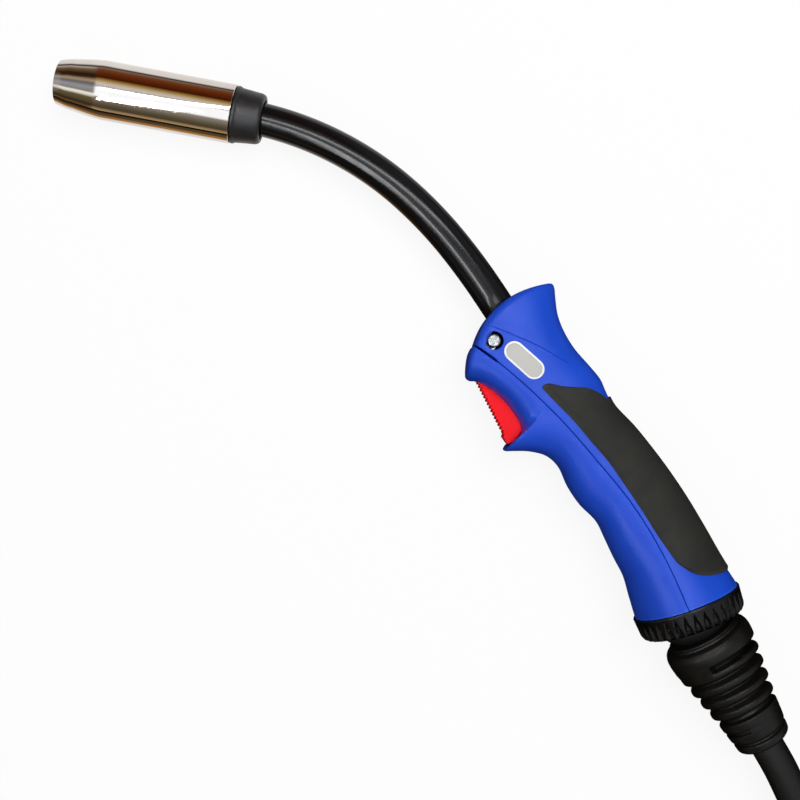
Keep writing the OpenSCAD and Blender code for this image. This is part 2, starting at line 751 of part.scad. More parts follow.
// Hook-and-loop straps round the bundle of turns
tie_angles = [160, 345];
module coil_ties() {
    color("#2c2c2e") for (a = tie_angles) {
        turns = [for (t = [0:1:coil_turns + 1]) t + ((a - coil_entry + 720) % 360) / 360];
        radii = [for (t = turns) if (t < coil_turns) coil_radius(t)];
        low = min(radii) - cable_d / 2 - 1.6;
        high = max(radii) + cable_d / 2 + 0.6;
        size = [high - low, layer_rise + 16.4];
        translate([coil_centre[0], coil_centre[1], 0]) rotate([0, 0, a])
            translate([(low + high) / 2, 9, tie_thick + size[1] / 2]) rotate([90, 0, 0])
                linear_extrude(18) difference() {
                    strap_outline(size + [2 * tie_thick, 2 * tie_thick], 4.2);
                    strap_outline(size, 3);
                }
    }
}
module strap_outline(size, r) {
    hull() for (x = [-1, 1], y = [-1, 1])
        translate([x * (size[0] / 2 - r), y * (size[1] / 2 - r)]) circle(r = r, $fn = 32);
}

// ---- Connector; heights are counted forwards from where the cable enters it ----
plug_at = [-304, -118, plug_d / 2];
module at_plug() { translate(plug_at) rotate([0, 90, 0]) children(); }
tail_route = [[-356, -129, 25.2], [-340, -123.6, 24.8]];
module cable_tail() {
    tail_start = coil_end + cable_d * coil_out_way;
    color("#1b1b1c") tube(
        concat(
            [tail_start, tail_start + 4 * coil_out_way], tail_route,
            [plug_at - [cable_d, 0, 0], plug_at]
        ),
        round_section(cable_d, 12)
    );
}
module plug_cable_end() { color("#1d1c1c") at_plug() rod(cable_d / 2, 0, 55); }
plug_rib_count = 5;
module plug_boot() {
    color("#1b1a19") at_plug() difference() {
        turned(concat(
            [[0, 0], [10.4, 0], [11.4, 1.5], [11.6, 6]],
            [for (k = [0:plug_rib_count - 1]) let (a = 10 + k * 6, r = 12.4 + 0.75 * k) each [
                [r - 2.4, a - 1.7], [r, a - 1.2], [r, a + 1.2], [r - 2.4, a + 1.7]
            ]],
            [[16.8, 38.5], [17.4, 45.6], [14.9, 45.8], [14.9, 51.5], [0, 51.5]]
        ));
        rod(cable_d / 2 + 0.1, -1, 53);
    }
}
module plug_half() {
    r = plug_d / 2;
    rotate([0, 0, 0.3]) rotate_extrude(angle = 179.4) polygon([
        [15.2, 46], [r - 5.2, 46], [r - 3.4, 50], [r - 2.6, 66], [r - 2.2, 82], [r, 94], [r, 104.6],
        [r - 1.2, 106], [14.2, 106], [14.2, 103.6], [17.5, 103.6], [17.5, 52.2], [15.2, 52.2]
    ]);
}
module plug_screw_holes(r) {
    for (x = [64, 88], side = [-1, 1]) translate([side * 15.8, -26, x]) rotate([-90, 0, 0])
        cylinder(r = r, h = 52);
}
module plug_shell_top() {
    color("#2a2b2e") at_plug() rotate([0, 0, 90]) difference() {
        plug_half();
        plug_screw_holes(1.6);
    }
}
module plug_shell_bottom() {
    color("#26272a") at_plug() rotate([0, 0, -90]) difference() {
        plug_half();
        plug_screw_holes(1.6);
    }
}
module plug_screws() {
    color("#b9bdc2") at_plug() rotate([0, 0, 90])
        for (x = [64, 88], side = [-1, 1]) translate([side * 15.8, -9, x]) rotate([-90, 0, 0])
            cylinder(r = 1.5, h = 18);
}
module plug_body() {
    color("#c2994a") at_plug() difference() {
        union() {
            rod(11, 58, 103);
            rod(13.9, 103, 110.6);
            rod(17.2, 110.4, 114);
            rod(8, 114, 121);
            rod(spigot_d / 2, 120, 147);
        }
        rod(liner_r + 0.1, 57, 148);
        rod(5.2, 57, 78);
        translate([0, 0, 147.1 - 1.2]) cylinder(r1 = 2.3, r2 = 3.6, h = 1.3);
        difference() {
            rod(spigot_d / 2 + 1, 139.9, 142.1);
            rod(spigot_d / 2 - 1.6, 139, 143);
        }
        for (side = [-1, 1]) translate([0, side * contact_spacing / 2, 0]) rod(2.8, 111.4, 115);
    }
}
module plug_insulator() {
    color("#26262a") at_plug() difference() {
        rod(16.8, 114.05, 121);
        rod(8.05, 113, 122);
        for (side = [-1, 1]) translate([0, side * contact_spacing / 2, 0]) {
            rod(2.8, 113, 119);
            rod(2.05, 113, 122);
        }
    }
}
module spigot_o_ring() {
    color("#101010") at_plug() translate([0, 0, 141])
        rotate_extrude() translate([spigot_d / 2 - 0.7, 0]) circle(r = 0.8);
}
module union_nut() {
    flutes = 12;
    color("#1a1b1e") at_plug() difference() {
        turned([
            [14.2, 106.4], [plug_d / 2 - 1.6, 106.4], [plug_d / 2 - 0.4, 107.6],
            [plug_d / 2 - 0.4, 133], [plug_d / 2 - 1.4, 134], [17.7, 134], [17.7, 110], [14.2, 110]
        ]);
        for (k = [0:flutes - 1]) rotate([0, 0, (k + 0.5) * 360 / flutes])
            translate([plug_d / 2 + 2.4, 0, 110]) cylinder(r = 4, h = 26);
    }
}
module contact_pin(side) {
    color("#d8b25a") at_plug() translate([0, side * contact_spacing / 2, 0]) {
        rod(1.75, 115.5, 131);
        rod(2.55, 117.4, 118.8);
    }
}
module contact_spring(side) {
    color("#9aa0a6") at_plug() translate([0, side * contact_spacing / 2, 0]) ring(2.3, 1.5, 111.5, 115.4);
}
module contact_pin_near() { contact_pin(-1); }
module contact_pin_far() { contact_pin(1); }
module contact_spring_near() { contact_spring(-1); }
module contact_spring_far() { contact_spring(1); }

handle_upper_shell();
handle_lower_shell();
soft_grip();
badge_plate();
handle_screw();
screw_nut();
thread_ring();
neck_holder();
neck_block();
neck_sheath();
neck_tube();
wire_liner();
neck_collar();
nozzle_spring();
gas_diffuser();
tip_holder();
contact_tip();
gas_nozzle();
trigger();
trigger_pin();
trigger_spring();
switch_carrier();
microswitch();
switch_plunger();
switch_leads();
power_lead();
handle_nut();
socket_liner();
swivel_ball();
bend_boot();
cable_entry();
cable();
cable_coil();
coil_ties();
cable_tail();
plug_cable_end();
plug_boot();
plug_shell_top();
plug_shell_bottom();
plug_screws();
plug_body();
plug_insulator();
spigot_o_ring();
union_nut();
contact_pin_near();
contact_pin_far();
contact_spring_near();
contact_spring_far();
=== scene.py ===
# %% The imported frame
import json
from math import asin, cos, hypot, pi, radians, sin, sqrt

import bmesh
import bpy
from mathutils import Matrix, Vector


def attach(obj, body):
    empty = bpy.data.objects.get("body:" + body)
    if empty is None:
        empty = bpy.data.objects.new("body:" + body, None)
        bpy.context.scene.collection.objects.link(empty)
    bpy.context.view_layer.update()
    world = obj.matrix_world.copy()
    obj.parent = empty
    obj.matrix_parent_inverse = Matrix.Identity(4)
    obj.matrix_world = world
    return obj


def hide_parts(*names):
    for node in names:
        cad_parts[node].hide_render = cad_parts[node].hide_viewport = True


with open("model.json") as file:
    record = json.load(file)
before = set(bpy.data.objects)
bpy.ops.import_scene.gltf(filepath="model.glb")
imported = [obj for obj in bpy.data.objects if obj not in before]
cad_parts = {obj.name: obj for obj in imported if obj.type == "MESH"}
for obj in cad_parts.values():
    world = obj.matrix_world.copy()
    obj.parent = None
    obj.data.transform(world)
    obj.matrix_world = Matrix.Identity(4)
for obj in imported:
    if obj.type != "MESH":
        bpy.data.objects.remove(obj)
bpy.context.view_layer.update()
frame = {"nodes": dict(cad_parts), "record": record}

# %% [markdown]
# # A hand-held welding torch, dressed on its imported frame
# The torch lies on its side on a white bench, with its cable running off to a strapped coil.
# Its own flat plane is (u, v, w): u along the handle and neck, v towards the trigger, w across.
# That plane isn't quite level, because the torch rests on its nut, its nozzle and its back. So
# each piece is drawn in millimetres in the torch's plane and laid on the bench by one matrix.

MM = 0.001
swivel_on_bench = Vector((-158.1, 17.2, 26.09))
swivel_in_plane = Vector((-2, 2.4, 0))
tilt_on_y, tilt_on_x = 1.72, 5.42


def turning(degrees, axis):
    return Matrix.Rotation(radians(degrees), 4, axis)


lay_turn = turning(tilt_on_y, "Y") @ turning(tilt_on_x, "X")
in_mm = Matrix.Scale(MM, 4)
torch = (
    in_mm @ Matrix.Translation(swivel_on_bench) @ lay_turn @ Matrix.Translation(-swivel_in_plane)
)


def at(uv, turn=0):
    """Local Z across the torch's plane, from a point of it."""
    return torch @ Matrix.Translation((uv[0], uv[1], 0)) @ turning(turn, "Z")


def along(uv, turn):
    """Local Z along a heading of the torch's plane, from a point of it."""
    return at(uv, turn) @ turning(90, "Y")


def heading(a):
    return Vector((cos(radians(a)), sin(radians(a))))


print("swivel on the bench, m:", [round(x, 4) for x in torch @ swivel_in_plane])

# %% [markdown]
# ## Camera
# A long lens well above the torch, looking straight across its plane, shows it as a catalogue
# does: without perspective in the nozzle, and with the handle's side flat to the viewer. It is
# made before the cable, because the coil has to lie outside what it sees.

# %% Camera
lens, sensor, camera_uv, camera_height, camera_roll = 60.75, 36, (164, 20.8), 637, -138


def show(name, data):
    """Puts an object that holds some data into the scene."""
    made = bpy.data.objects.new(name, data)
    bpy.context.scene.collection.objects.link(made)
    return made


camera_data = bpy.data.cameras.new("camera")
camera_data.lens, camera_data.sensor_width = lens, sensor
camera = show("camera", camera_data)
camera_place = Matrix.Translation(torch @ Vector((*camera_uv, camera_height)))
camera.matrix_world = camera_place @ lay_turn @ turning(camera_roll, "Z")
bpy.context.scene.camera = camera
print("camera at, m:", [round(x, 3) for x in camera.location])

# %% [markdown]
# ## Helpers for meshes
# Most pieces are grids of points: turned parts are a profile swept round an axis, tubes are a
# ring swept along a path, and shells are sections swept along the handle. One helper turns
# points and faces into an object whose place is in its mesh, and the others build on it.


# %% Points and faces to an object
weld_reach = 2e-6


def set_shading(mesh, sharp):
    mesh.shade_smooth()
    mesh.set_sharp_from_angle(angle=radians(sharp))


def mesh_piece(name, points, faces, place=in_mm, sharp=35):
    """A mesh object at the origin, its doubles merged and its faces pointing outwards."""
    mesh = bpy.data.meshes.new(name)
    mesh.from_pydata([place @ Vector(p) for p in points], [], faces)
    work = bmesh.new()
    work.from_mesh(mesh)
    bmesh.ops.remove_doubles(work, verts=work.verts, dist=weld_reach)
    bmesh.ops.recalc_face_normals(work, faces=work.faces)
    work.to_mesh(mesh)
    work.free()
    set_shading(mesh, sharp)
    return show(name, mesh)


def grid_faces(rows, columns, start=0, closed=False, ring=False):
    """Quads of a grid of points, with its columns closed, and its rows too, where asked."""
    return [
        tuple(
            start + (row + i) % rows * columns + (column + j) % columns
            for i, j in ((0, 0), (0, 1), (1, 1), (1, 0))
        )
        for row in range(rows if ring else rows - 1)
        for column in range(columns if closed else columns - 1)
    ]


def between(a, b, c, d, t):
    """The smooth curve through four numbers or vectors, at t of the way from b to c."""
    return 0.5 * (
        2 * b + (c - a) * t + (2 * a - 5 * b + 4 * c - d) * t * t
        + (3 * b - a - 3 * c + d) * t ** 3
    )


def smooth(points, steps):
    """Points on the smooth curve through the given ones, with steps spans between neighbours."""
    points = [Vector(p) for p in points]
    last = len(points) - 1
    out = [
        between(*(points[min(max(i + n, 0), last)] for n in (-1, 0, 1, 2)), k / steps)
        for i in range(last)
        for k in range(steps)
    ]
    return out + [points[-1]]


# %% [markdown]
# ## Cable
# The torch's cable carries welding current, shielding gas, the wire in its liner and the
# trigger's leads inside one 16 mm black rubber jacket, so it is stiff and holds wide curves. It
# could be a bevelled curve, but a mesh tube keeps its rings where the route's points are. The
# route drops from the boot to the bench, winds into a coil of two layers and rises a little
# into the connector.

# %% Cable route
cable_d = 16.0
boot_heading, boot_fall, boot_length = 162, 1, 75
boot_place = (
    in_mm @ Matrix.Translation(swivel_on_bench)
    @ turning(boot_heading, "Z") @ turning(boot_fall, "Y") @ turning(90, "Y")
)
cable_start = (boot_place @ Vector((0, 0, boot_length))) / MM
boot_way = (boot_place.to_3x3() @ Vector((0, 0, 1))).normalized()

coil_centre = Vector((-389.6, -22.4, 0))
coil_across, coil_turns, rings_a_turn = 218, 4.55, 36
turn_pitch, layer_rise, coil_low = cable_d + 0.9, 16.4, 9.1
coil_entry = boot_heading - 90


def coil_point(t):
    """The cable's centre after t turns: in along the bench, then out again on top."""
    half = coil_turns / 2
    r = coil_across / 2 - turn_pitch * half + turn_pitch * abs(t - half)
    step = min(max(t - half, -0.25), 0.25)
    rise = layer_rise * (0.5 + 0.5 * sin(2 * pi * step))
    a = radians(coil_entry + 360 * t)
    return coil_centre + Vector((r * cos(a), r * sin(a), coil_low + rise))


coil_in = heading(boot_heading).to_3d()
coil_out = heading(coil_entry + 360 * coil_turns + 90).to_3d()
plug_at = Vector((-304, -118, 23.5))
coil_start, coil_end = coil_point(0), coil_point(coil_turns)
lead_in = smooth(
    [cable_start, cable_start + cable_d * boot_way, (-262, 52.3, 23), (-279, 57.6, 19),
     (-296, 62.6, 14.3), (-314, 67.9, 10.3), coil_start - (cable_d + 14) * coil_in,
     coil_start - cable_d * coil_in, coil_start],
    3,
)
rings = round(coil_turns * rings_a_turn)
coil = [coil_point(coil_turns * i / rings) for i in range(1, rings)]
lead_out = smooth(
    [coil_end, coil_end + cable_d * coil_out, coil_end + (cable_d + 4) * coil_out,
     (-356, -129, 25.2), (-340, -123.6, 24.8), plug_at - Vector((cable_d, 0, 0)), plug_at],
    4,
)
cable_path = lead_in + coil + lead_out


# %% Cable mesh
def tube(name, path, r, sides, place=in_mm, sharp=35):
    """A round tube with flat ends along a path that never stands upright."""
    section = [
        (r * cos(2 * pi * k / sides), r * sin(2 * pi * k / sides)) for k in range(sides)
    ]
    points = []
    last = len(path) - 1
    for i, p in enumerate(path):
        way = (path[min(i + 1, last)] - path[max(i - 1, 0)]).normalized()
        side = Vector((0, 0, 1)).cross(way).normalized()
        lift = way.cross(side)
        points += [p + side * s + lift * h for s, h in section]
    ends = [tuple(range(sides)), tuple(range(last * sides, (last + 1) * sides))]
    faces = grid_faces(last + 1, sides, closed=True) + ends
    return mesh_piece(name, points, faces, place, sharp)


cable = tube("free_cable", cable_path, cable_d / 2, 24, sharp=50)

# %% [markdown]
# ## Finishes
# Every finish is one principled shader fed by noise in object coordinates, in metres. A broad
# noise drifts the colour between two near tones. A fine one gives the moulded or ground surface
# its grain through a bump, and together with a third it varies the roughness. Edges, found by
# how pointed the mesh is, get a little paler, as handling leaves them. Numbers that don't vary
# sit on the shader's own sockets.

# %% Finish helpers
colour_patches, gloss_patches, chrome_tone = 60, 180, (222, 214, 206)


def srgb(r, g, b):
    """A colour on screen, 0 to 255, as the shader's linear values."""
    return tuple(
        ((c / 255 + 0.055) / 1.055) ** 2.4 if c > 10 else c / 255 / 12.92 for c in (r, g, b)
    ) + (1,)


def feed(tree, socket, value):
    """Links a socket to another one, or sets it to a number, vector or colour."""
    if isinstance(value, bpy.types.NodeSocket):
        tree.links.new(value, socket)
    else:
        socket.default_value = value


def add(tree, kind, *feeds, **named):
    """A node with its inputs fed in order or by name, and properties by name; _ is a space."""
    node = tree.nodes.new(kind)
    for n, value in enumerate(feeds):
        feed(tree, node.inputs[n], value)
    for key, value in named.items():
        if hasattr(node, key):
            setattr(node, key, value)
        else:
            feed(tree, node.inputs[key.replace("_", " ")], value)
    return node


def maths(tree, operation, *feeds):
    """The result of one operation on sockets and numbers."""
    return add(tree, "ShaderNodeMath", *feeds, operation=operation).outputs[0]


def noise(tree, coordinates, scale, detail=3.0):
    """Noise of a scale in features a metre."""
    return add(
        tree, "ShaderNodeTexNoise", Vector=coordinates, Scale=scale, Detail=detail
    ).outputs["Fac"]


def spread(tree, value, low, high, to_low, to_high):
    """Maps a range of a value to another range."""
    return add(tree, "ShaderNodeMapRange", value, low, high, to_low, to_high).outputs["Result"]


def blend_tones(tree, factor, a, b):
    """Colour between two tones, either of which may be a socket."""
    node = add(tree, "ShaderNodeMix", factor, data_type="RGBA")
    for socket, tone in zip((s for s in node.inputs if s.type == "RGBA"), (a, b)):
        feed(tree, socket, tone)
    return next(s for s in node.outputs if s.type == "RGBA")


def new_finish(name):
    """A new material, with its tree and its shader."""
    made = bpy.data.materials.new(name)
    made.use_nodes = True
    return made, made.node_tree, made.node_tree.nodes["Principled BSDF"]


def finish(name, tone, drift, rough, grain, depth, worn=None, **constants):
    """A finish: two tones, a range of roughness, grain per metre and its depth in metres."""
    made, tree, shader = new_finish(name)
    place = add(tree, "ShaderNodeTexCoord").outputs["Object"]
    patches = spread(tree, noise(tree, place, colour_patches), 0.3, 0.7, 0, 1)
    colour = blend_tones(tree, patches, srgb(*tone), srgb(*drift))
    if worn:
        point = add(tree, "ShaderNodeNewGeometry").outputs["Pointiness"]
        colour = blend_tones(tree, spread(tree, point, 0.53, 0.62, 0, 1), colour, srgb(*worn))
    fine = noise(tree, place, grain, 4.0)
    smears = maths(tree, "MULTIPLY", fine, noise(tree, place, gloss_patches, 5.0))
    bump = add(tree, "ShaderNodeBump", Strength=1.0, Distance=depth, Height=fine)
    feed(tree, shader.inputs["Base Color"], colour)
    feed(tree, shader.inputs["Roughness"], spread(tree, smears, 0.12, 0.38, *rough))
    feed(tree, shader.inputs["Normal"], bump.outputs["Normal"])
    for key, value in constants.items():
        shader.inputs[key.replace("_", " ")].default_value = value
    return made


# %% Finishes of the torch
blue = finish("royal_blue_moulding", (22, 76, 208), (18, 70, 201), (0.3, 0.42), 2400, 2.2e-5,
              (40, 94, 224), Specular_IOR_Level=0.28)
charcoal = finish("soft_grip_rubber", (44, 44, 41), (38, 38, 36), (0.55, 0.75), 2600, 7e-5,
                  (58, 58, 54), Specular_IOR_Level=0.2)
chrome = finish("chromed_copper", chrome_tone, (214, 204, 196), (0.03, 0.09), 900, 2e-6,
                Metallic=1.0)
sleeve_black = finish("neck_sleeve_black", (15, 15, 19), (11, 11, 14), (0.13, 0.2), 1800, 3e-6,
                      Specular_IOR_Level=0.32)
collar_black = finish("collar_black", (31, 31, 33), (23, 23, 25), (0.34, 0.5), 1600, 2.5e-5,
                      (52, 52, 54))
nut_black = finish("nut_black", (13, 13, 14), (9, 9, 10), (0.2, 0.32), 1500, 1.5e-5,
                   (34, 33, 33), Specular_IOR_Level=0.25)
boot_black = finish("boot_rubber", (19, 18, 17), (14, 13, 12), (0.3, 0.45), 1300, 3e-5,
                    (38, 35, 33), Specular_IOR_Level=0.25)
signal_red = finish("trigger_red", (255, 22, 38), (250, 18, 32), (0.34, 0.46), 2200, 1.5e-5,
                    Specular_IOR_Level=0.1)
silver_grey = finish("badge_silver", (200, 199, 196), (194, 193, 190), (0.34, 0.46), 3000, 8e-6,
                     Specular_IOR_Level=0.2)
pale_rim = finish("badge_rim_white", (250, 250, 248), (245, 245, 243), (0.3, 0.4), 3000, 6e-6)
zinc = finish("bright_zinc", (172, 176, 180), (158, 163, 162), (0.2, 0.38), 1400, 6e-6,
              Metallic=1.0)
jacket = finish("cable_jacket", (18, 18, 19), (13, 13, 14), (0.4, 0.55), 900, 4e-5,
                (34, 34, 35), Specular_IOR_Level=0.3)
strap_black = finish("strap_weave", (40, 40, 43), (33, 33, 36), (0.7, 0.9), 1400, 2e-4,
                     Sheen_Weight=0.4)

# %% Finishes of the inner parts and the connector
spring = finish("spring_wire", (150, 154, 160), (134, 138, 144), (0.25, 0.4), 1800, 6e-6,
                Metallic=1.0)
brass = finish("machined_brass", (196, 156, 84), (182, 142, 74), (0.2, 0.38), 1600, 8e-6,
               Metallic=1.0)
copper = finish("machined_copper", (200, 126, 88), (186, 112, 76), (0.22, 0.4), 1600, 8e-6,
                Metallic=1.0)
gold = finish("gold_contact", (218, 180, 96), (206, 166, 84), (0.16, 0.3), 1500, 5e-6,
              Metallic=1.0)
ceramic = finish("white_insulator", (226, 222, 210), (218, 213, 200), (0.35, 0.5), 2000, 1.2e-5)
inner_black = finish("inner_black_plastic", (20, 20, 22), (15, 15, 17), (0.35, 0.5), 1800,
                     1.6e-5, (38, 38, 41))
housing_black = finish("connector_black", (26, 27, 29), (20, 21, 23), (0.38, 0.52), 1700, 3e-5,
                       (48, 49, 52))
plunger_tone = finish("plunger_red", (196, 44, 40), (184, 38, 36), (0.35, 0.5), 2000, 1e-5)
lead_tone = finish("lead_red", (168, 50, 48), (154, 44, 42), (0.45, 0.6), 1800, 1e-5)
seal_black = finish("seal_rubber", (16, 16, 16), (12, 12, 12), (0.4, 0.55), 1500, 1e-5)
print(len(bpy.data.materials), "finishes")

# %% Fitting a piece to the frame
bodies = frame["record"]["behaviour"]["bodies"]
body_of = {node: body for body, nodes in bodies.items() for node in nodes}


def fit(piece, finish_made, *nodes):
    """Gives a piece its finish, and puts it in the place of CAD nodes, on their body."""
    piece.data.materials.clear()
    piece.data.materials.append(finish_made)
    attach(piece, body_of[nodes[0]])
    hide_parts(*nodes)
    print(piece.name, "on", body_of[nodes[0]], "with", len(piece.data.polygons), "faces")


fit(cable, jacket, "cable", "cable_coil", "cable_tail")

# %% [markdown]
# ## Turned parts
# The nozzle, collar, nuts and boot come from a lathe or from a mould made on one. A profile of
# radius and height is rounded at its corners and swept round the axis. A modifier could do the
# sweep, but points in code keep the poles and the seam closed.


# %% Turning a profile
def rounded(profile, radius=0.3, steps=3):
    """A closed profile with each corner rounded; a point's third number is its own radius."""
    out = []
    count = len(profile)
    for i, point in enumerate(profile):
        here = Vector(point[:2])
        before, after = Vector(profile[i - 1][:2]), Vector(profile[(i + 1) % count][:2])
        reach = point[2] if len(point) > 2 else radius
        if here.x < 1e-6 or reach == 0:
            out.append(tuple(here))
            continue
        a = here + (before - here).normalized() * min(reach, 0.45 * (before - here).length)
        b = here + (after - here).normalized() * min(reach, 0.45 * (after - here).length)
        for k in range(steps + 1):
            t = k / steps
            out.append(tuple((1 - t) ** 2 * a + 2 * t * (1 - t) * here + t * t * b))
    return out


def turned(name, profile, place, sides=96, sharp=40):
    """A closed profile (radius, height) swept round local Z."""
    points = [
        (r * cos(2 * pi * k / sides), r * sin(2 * pi * k / sides), z)
        for k in range(sides)
        for r, z in profile
    ]
    faces = grid_faces(sides, len(profile), closed=True, ring=True)
    return mesh_piece(name, points, faces, place, sharp)


# %% [markdown]
# ## Swan neck
# The neck is a brass tube inside a smooth black insulating sleeve, bent once to aim the nozzle.
# Its shape follows one path, so Geometry Nodes sweep a circle along it. A solidify modifier
# gives the sleeve its wall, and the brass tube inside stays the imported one.

# %% Neck path
neck_low, neck_d, neck_wall = Vector((226, -53.1)), 15.8, 1.7
nozzle_heading, neck_rear_heading = 31.5, -14.5


def bend(start, r, a, b, steps):
    """Points of an arc of radius r from start, while the heading changes from a to b degrees."""
    return [
        start + r * Vector((sin(radians(h)) - sin(radians(a)), cos(radians(a)) - cos(radians(h))))
        for h in (a + (b - a) * k / steps for k in range(steps + 1))
    ]


front_bend = bend(neck_low, 156, 0, 28, 24)
tight_bend = bend(front_bend[-1], 60, 28, nozzle_heading, 4)
rear_bend = bend(neck_low, 200, 0, -9.5, 8)
easy_bend = bend(rear_bend[-1], 320, -9.5, neck_rear_heading, 6)
neck_root = easy_bend[-1]
nozzle_front = tight_bend[-1] + 95.7 * heading(nozzle_heading)
nozzle_place = along(nozzle_front, nozzle_heading)
neck_line = (
    [neck_root - 34 * heading(neck_rear_heading)] + easy_bend[::-1] + rear_bend[::-1][1:]
    + front_bend[1:] + tight_bend[1:] + [tight_bend[-1] + 8.7 * heading(nozzle_heading)]
)
print("nozzle front, m:", [round(x, 4) for x in nozzle_place.translation])


# %% Geometry Nodes helpers
def new_tree(name, **inputs):
    """A Geometry Nodes group with a geometry input and the named ones; returns its ends too."""
    tree = bpy.data.node_groups.new(name, "GeometryNodeTree")
    face = tree.interface
    face.new_socket("Geometry", in_out="INPUT", socket_type="NodeSocketGeometry")
    face.new_socket("Geometry", in_out="OUTPUT", socket_type="NodeSocketGeometry")
    for key, kind in inputs.items():
        face.new_socket(key, in_out="INPUT", socket_type="NodeSocket" + kind)
    return tree, add(tree, "NodeGroupInput").outputs, add(tree, "NodeGroupOutput").inputs[0]


def close_tree(tree, given, end, geometry):
    """Ends a tree in Realize Instances and Set Material."""
    real = add(tree, "GeometryNodeRealizeInstances", geometry).outputs[0]
    paint = add(tree, "GeometryNodeSetMaterial", Geometry=real, Material=given["Material"])
    feed(tree, end, paint.outputs[0])


def bake(piece, modifier, sharp):
    """Keeps what a modifier makes of a piece as its mesh, and takes the modifier off."""
    evaluated = piece.evaluated_get(bpy.context.evaluated_depsgraph_get())
    mesh = bpy.data.meshes.new_from_object(evaluated)
    piece.modifiers.remove(modifier)
    set_shading(mesh, sharp)
    piece.data = mesh


def grow(piece, tree, **values):
    """Runs a tree on a piece with its inputs set by identifier, and keeps the result."""
    modifier = piece.modifiers.new(tree.name, "NODES")
    modifier.node_group = tree
    for item in tree.interface.items_tree:
        if item.in_out == "INPUT" and item.name in values:
            modifier[item.identifier] = values[item.name]
    bake(piece, modifier, 35)


# %% Sleeve
sweep, given, end = new_tree("sweep_a_circle", Radius="Float", Sides="Int", Material="Material")
line = add(sweep, "GeometryNodeMeshToCurve", Mesh=given["Geometry"])
circle = add(
    sweep, "GeometryNodeCurvePrimitiveCircle", Radius=given["Radius"], Resolution=given["Sides"]
)
skin = add(
    sweep, "GeometryNodeCurveToMesh",
    Curve=line.outputs["Curve"], Profile_Curve=circle.outputs["Curve"],
)
close_tree(sweep, given, end, skin.outputs["Mesh"])

sleeve_mesh = bpy.data.meshes.new("neck_sleeve")
sleeve_mesh.from_pydata(
    [torch @ p.to_3d() for p in neck_line], [(i, i + 1) for i in range(len(neck_line) - 1)], []
)
sleeve = show("neck_sleeve", sleeve_mesh)
grow(sleeve, sweep, Radius=neck_d / 2 * MM, Sides=64, Material=sleeve_black)
wall = sleeve.modifiers.new("wall", "SOLIDIFY")
wall.thickness, wall.offset = neck_wall * MM, -1
fit(sleeve, sleeve_black, "neck_sheath")

# %% [markdown]
# ## Gas nozzle and collar
# The nozzle is a drawn copper cup, chromed so that spatter doesn't stick. Its front third
# tapers, and the bands in its mirror finish break where the taper starts, so the profile is
# finely divided there. The black collar behind it carries the nozzle on a spring ring.

# %% Gas nozzle
nozzle_r, rim_r, bore_r, nozzle_length = 13.9, 10.5, 8.5, 84
taper = smooth(
    [(rim_r, -0.5, 0), (11.6, -5, 0), (12.25, -9, 0), (12.9, -13, 0), (13.46, -17, 0),
     (nozzle_r, -21.6, 0), (nozzle_r, -26, 0)],
    5,
)
nozzle_profile = [(p.x, p.y) for p in taper] + rounded([
    (nozzle_r, -40, 0), (nozzle_r, -60, 0), (nozzle_r, -nozzle_length, 0.5),
    (11.6, -nozzle_length, 0.3), (11.6, -30, 1), (bore_r, -14, 2), (bore_r, -0.4, 0.4),
    (rim_r - 0.5, 0, 0.3),
])
nozzle = turned("gas_nozzle_shell", nozzle_profile, nozzle_place, 128, 30)
fit(nozzle, chrome, "gas_nozzle")

# %% Collar
collar_profile = rounded([
    (6.2, -64), (11.3, -64), (11.3, -76), (10.2, -76), (10.2, -82), (11.3, -82), (11.3, -84.3),
    (13.5, -84.3, 0.4), (13.5, -85.5, 0.4), (12.85, -86.4, 0.5), (12.3, -92, 2),
    (11.95, -96.4, 1.2), (11, -98, 0.8), (9.4, -98, 0.6), (9.2, -96.6, 0.5), (8.4, -96.2, 0.4),
    (8.1, -92), (8.1, -86.95), (6.2, -86.95),
])
collar = turned("nozzle_collar", collar_profile, nozzle_place)
fit(collar, collar_black, "neck_collar")

# %% [markdown]
# ## Handle shells
# Two blue shells meet on a seam along the side. Each is a stack of sections from the seam to
# its outer edge, and a section is a superellipse: nearly flat on the side near the trigger,
# round at the rear. The stations below are the driving sizes, and smooth curves through them
# give the rows. Sculpting or subdividing a cage would do too, but stations keep the shells'
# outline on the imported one's.

# %% Stations of the handle
seam = [
    (-12, 9), (2.4, 4.15), (11, 0), (22, -4.9), (34, -9.5), (47, -13.5), (60, -16.4),
    (80, -19.3), (100, -21.7), (120, -22.7), (130, -22.7), (143, -22.2), (156, -20.8), (162, -20),
]
half_width = [
    (-12, 26), (0.75, 25), (11, 23.2), (22, 21.5), (34, 19.6), (47, 18.2), (60, 17.3), (80, 17),
    (100, 17.6), (119, 18.1), (126, 18.35), (138, 18.35), (145, 17.9), (151, 17.2),
    (154.2, 16.3), (155.6, 14.6),
]
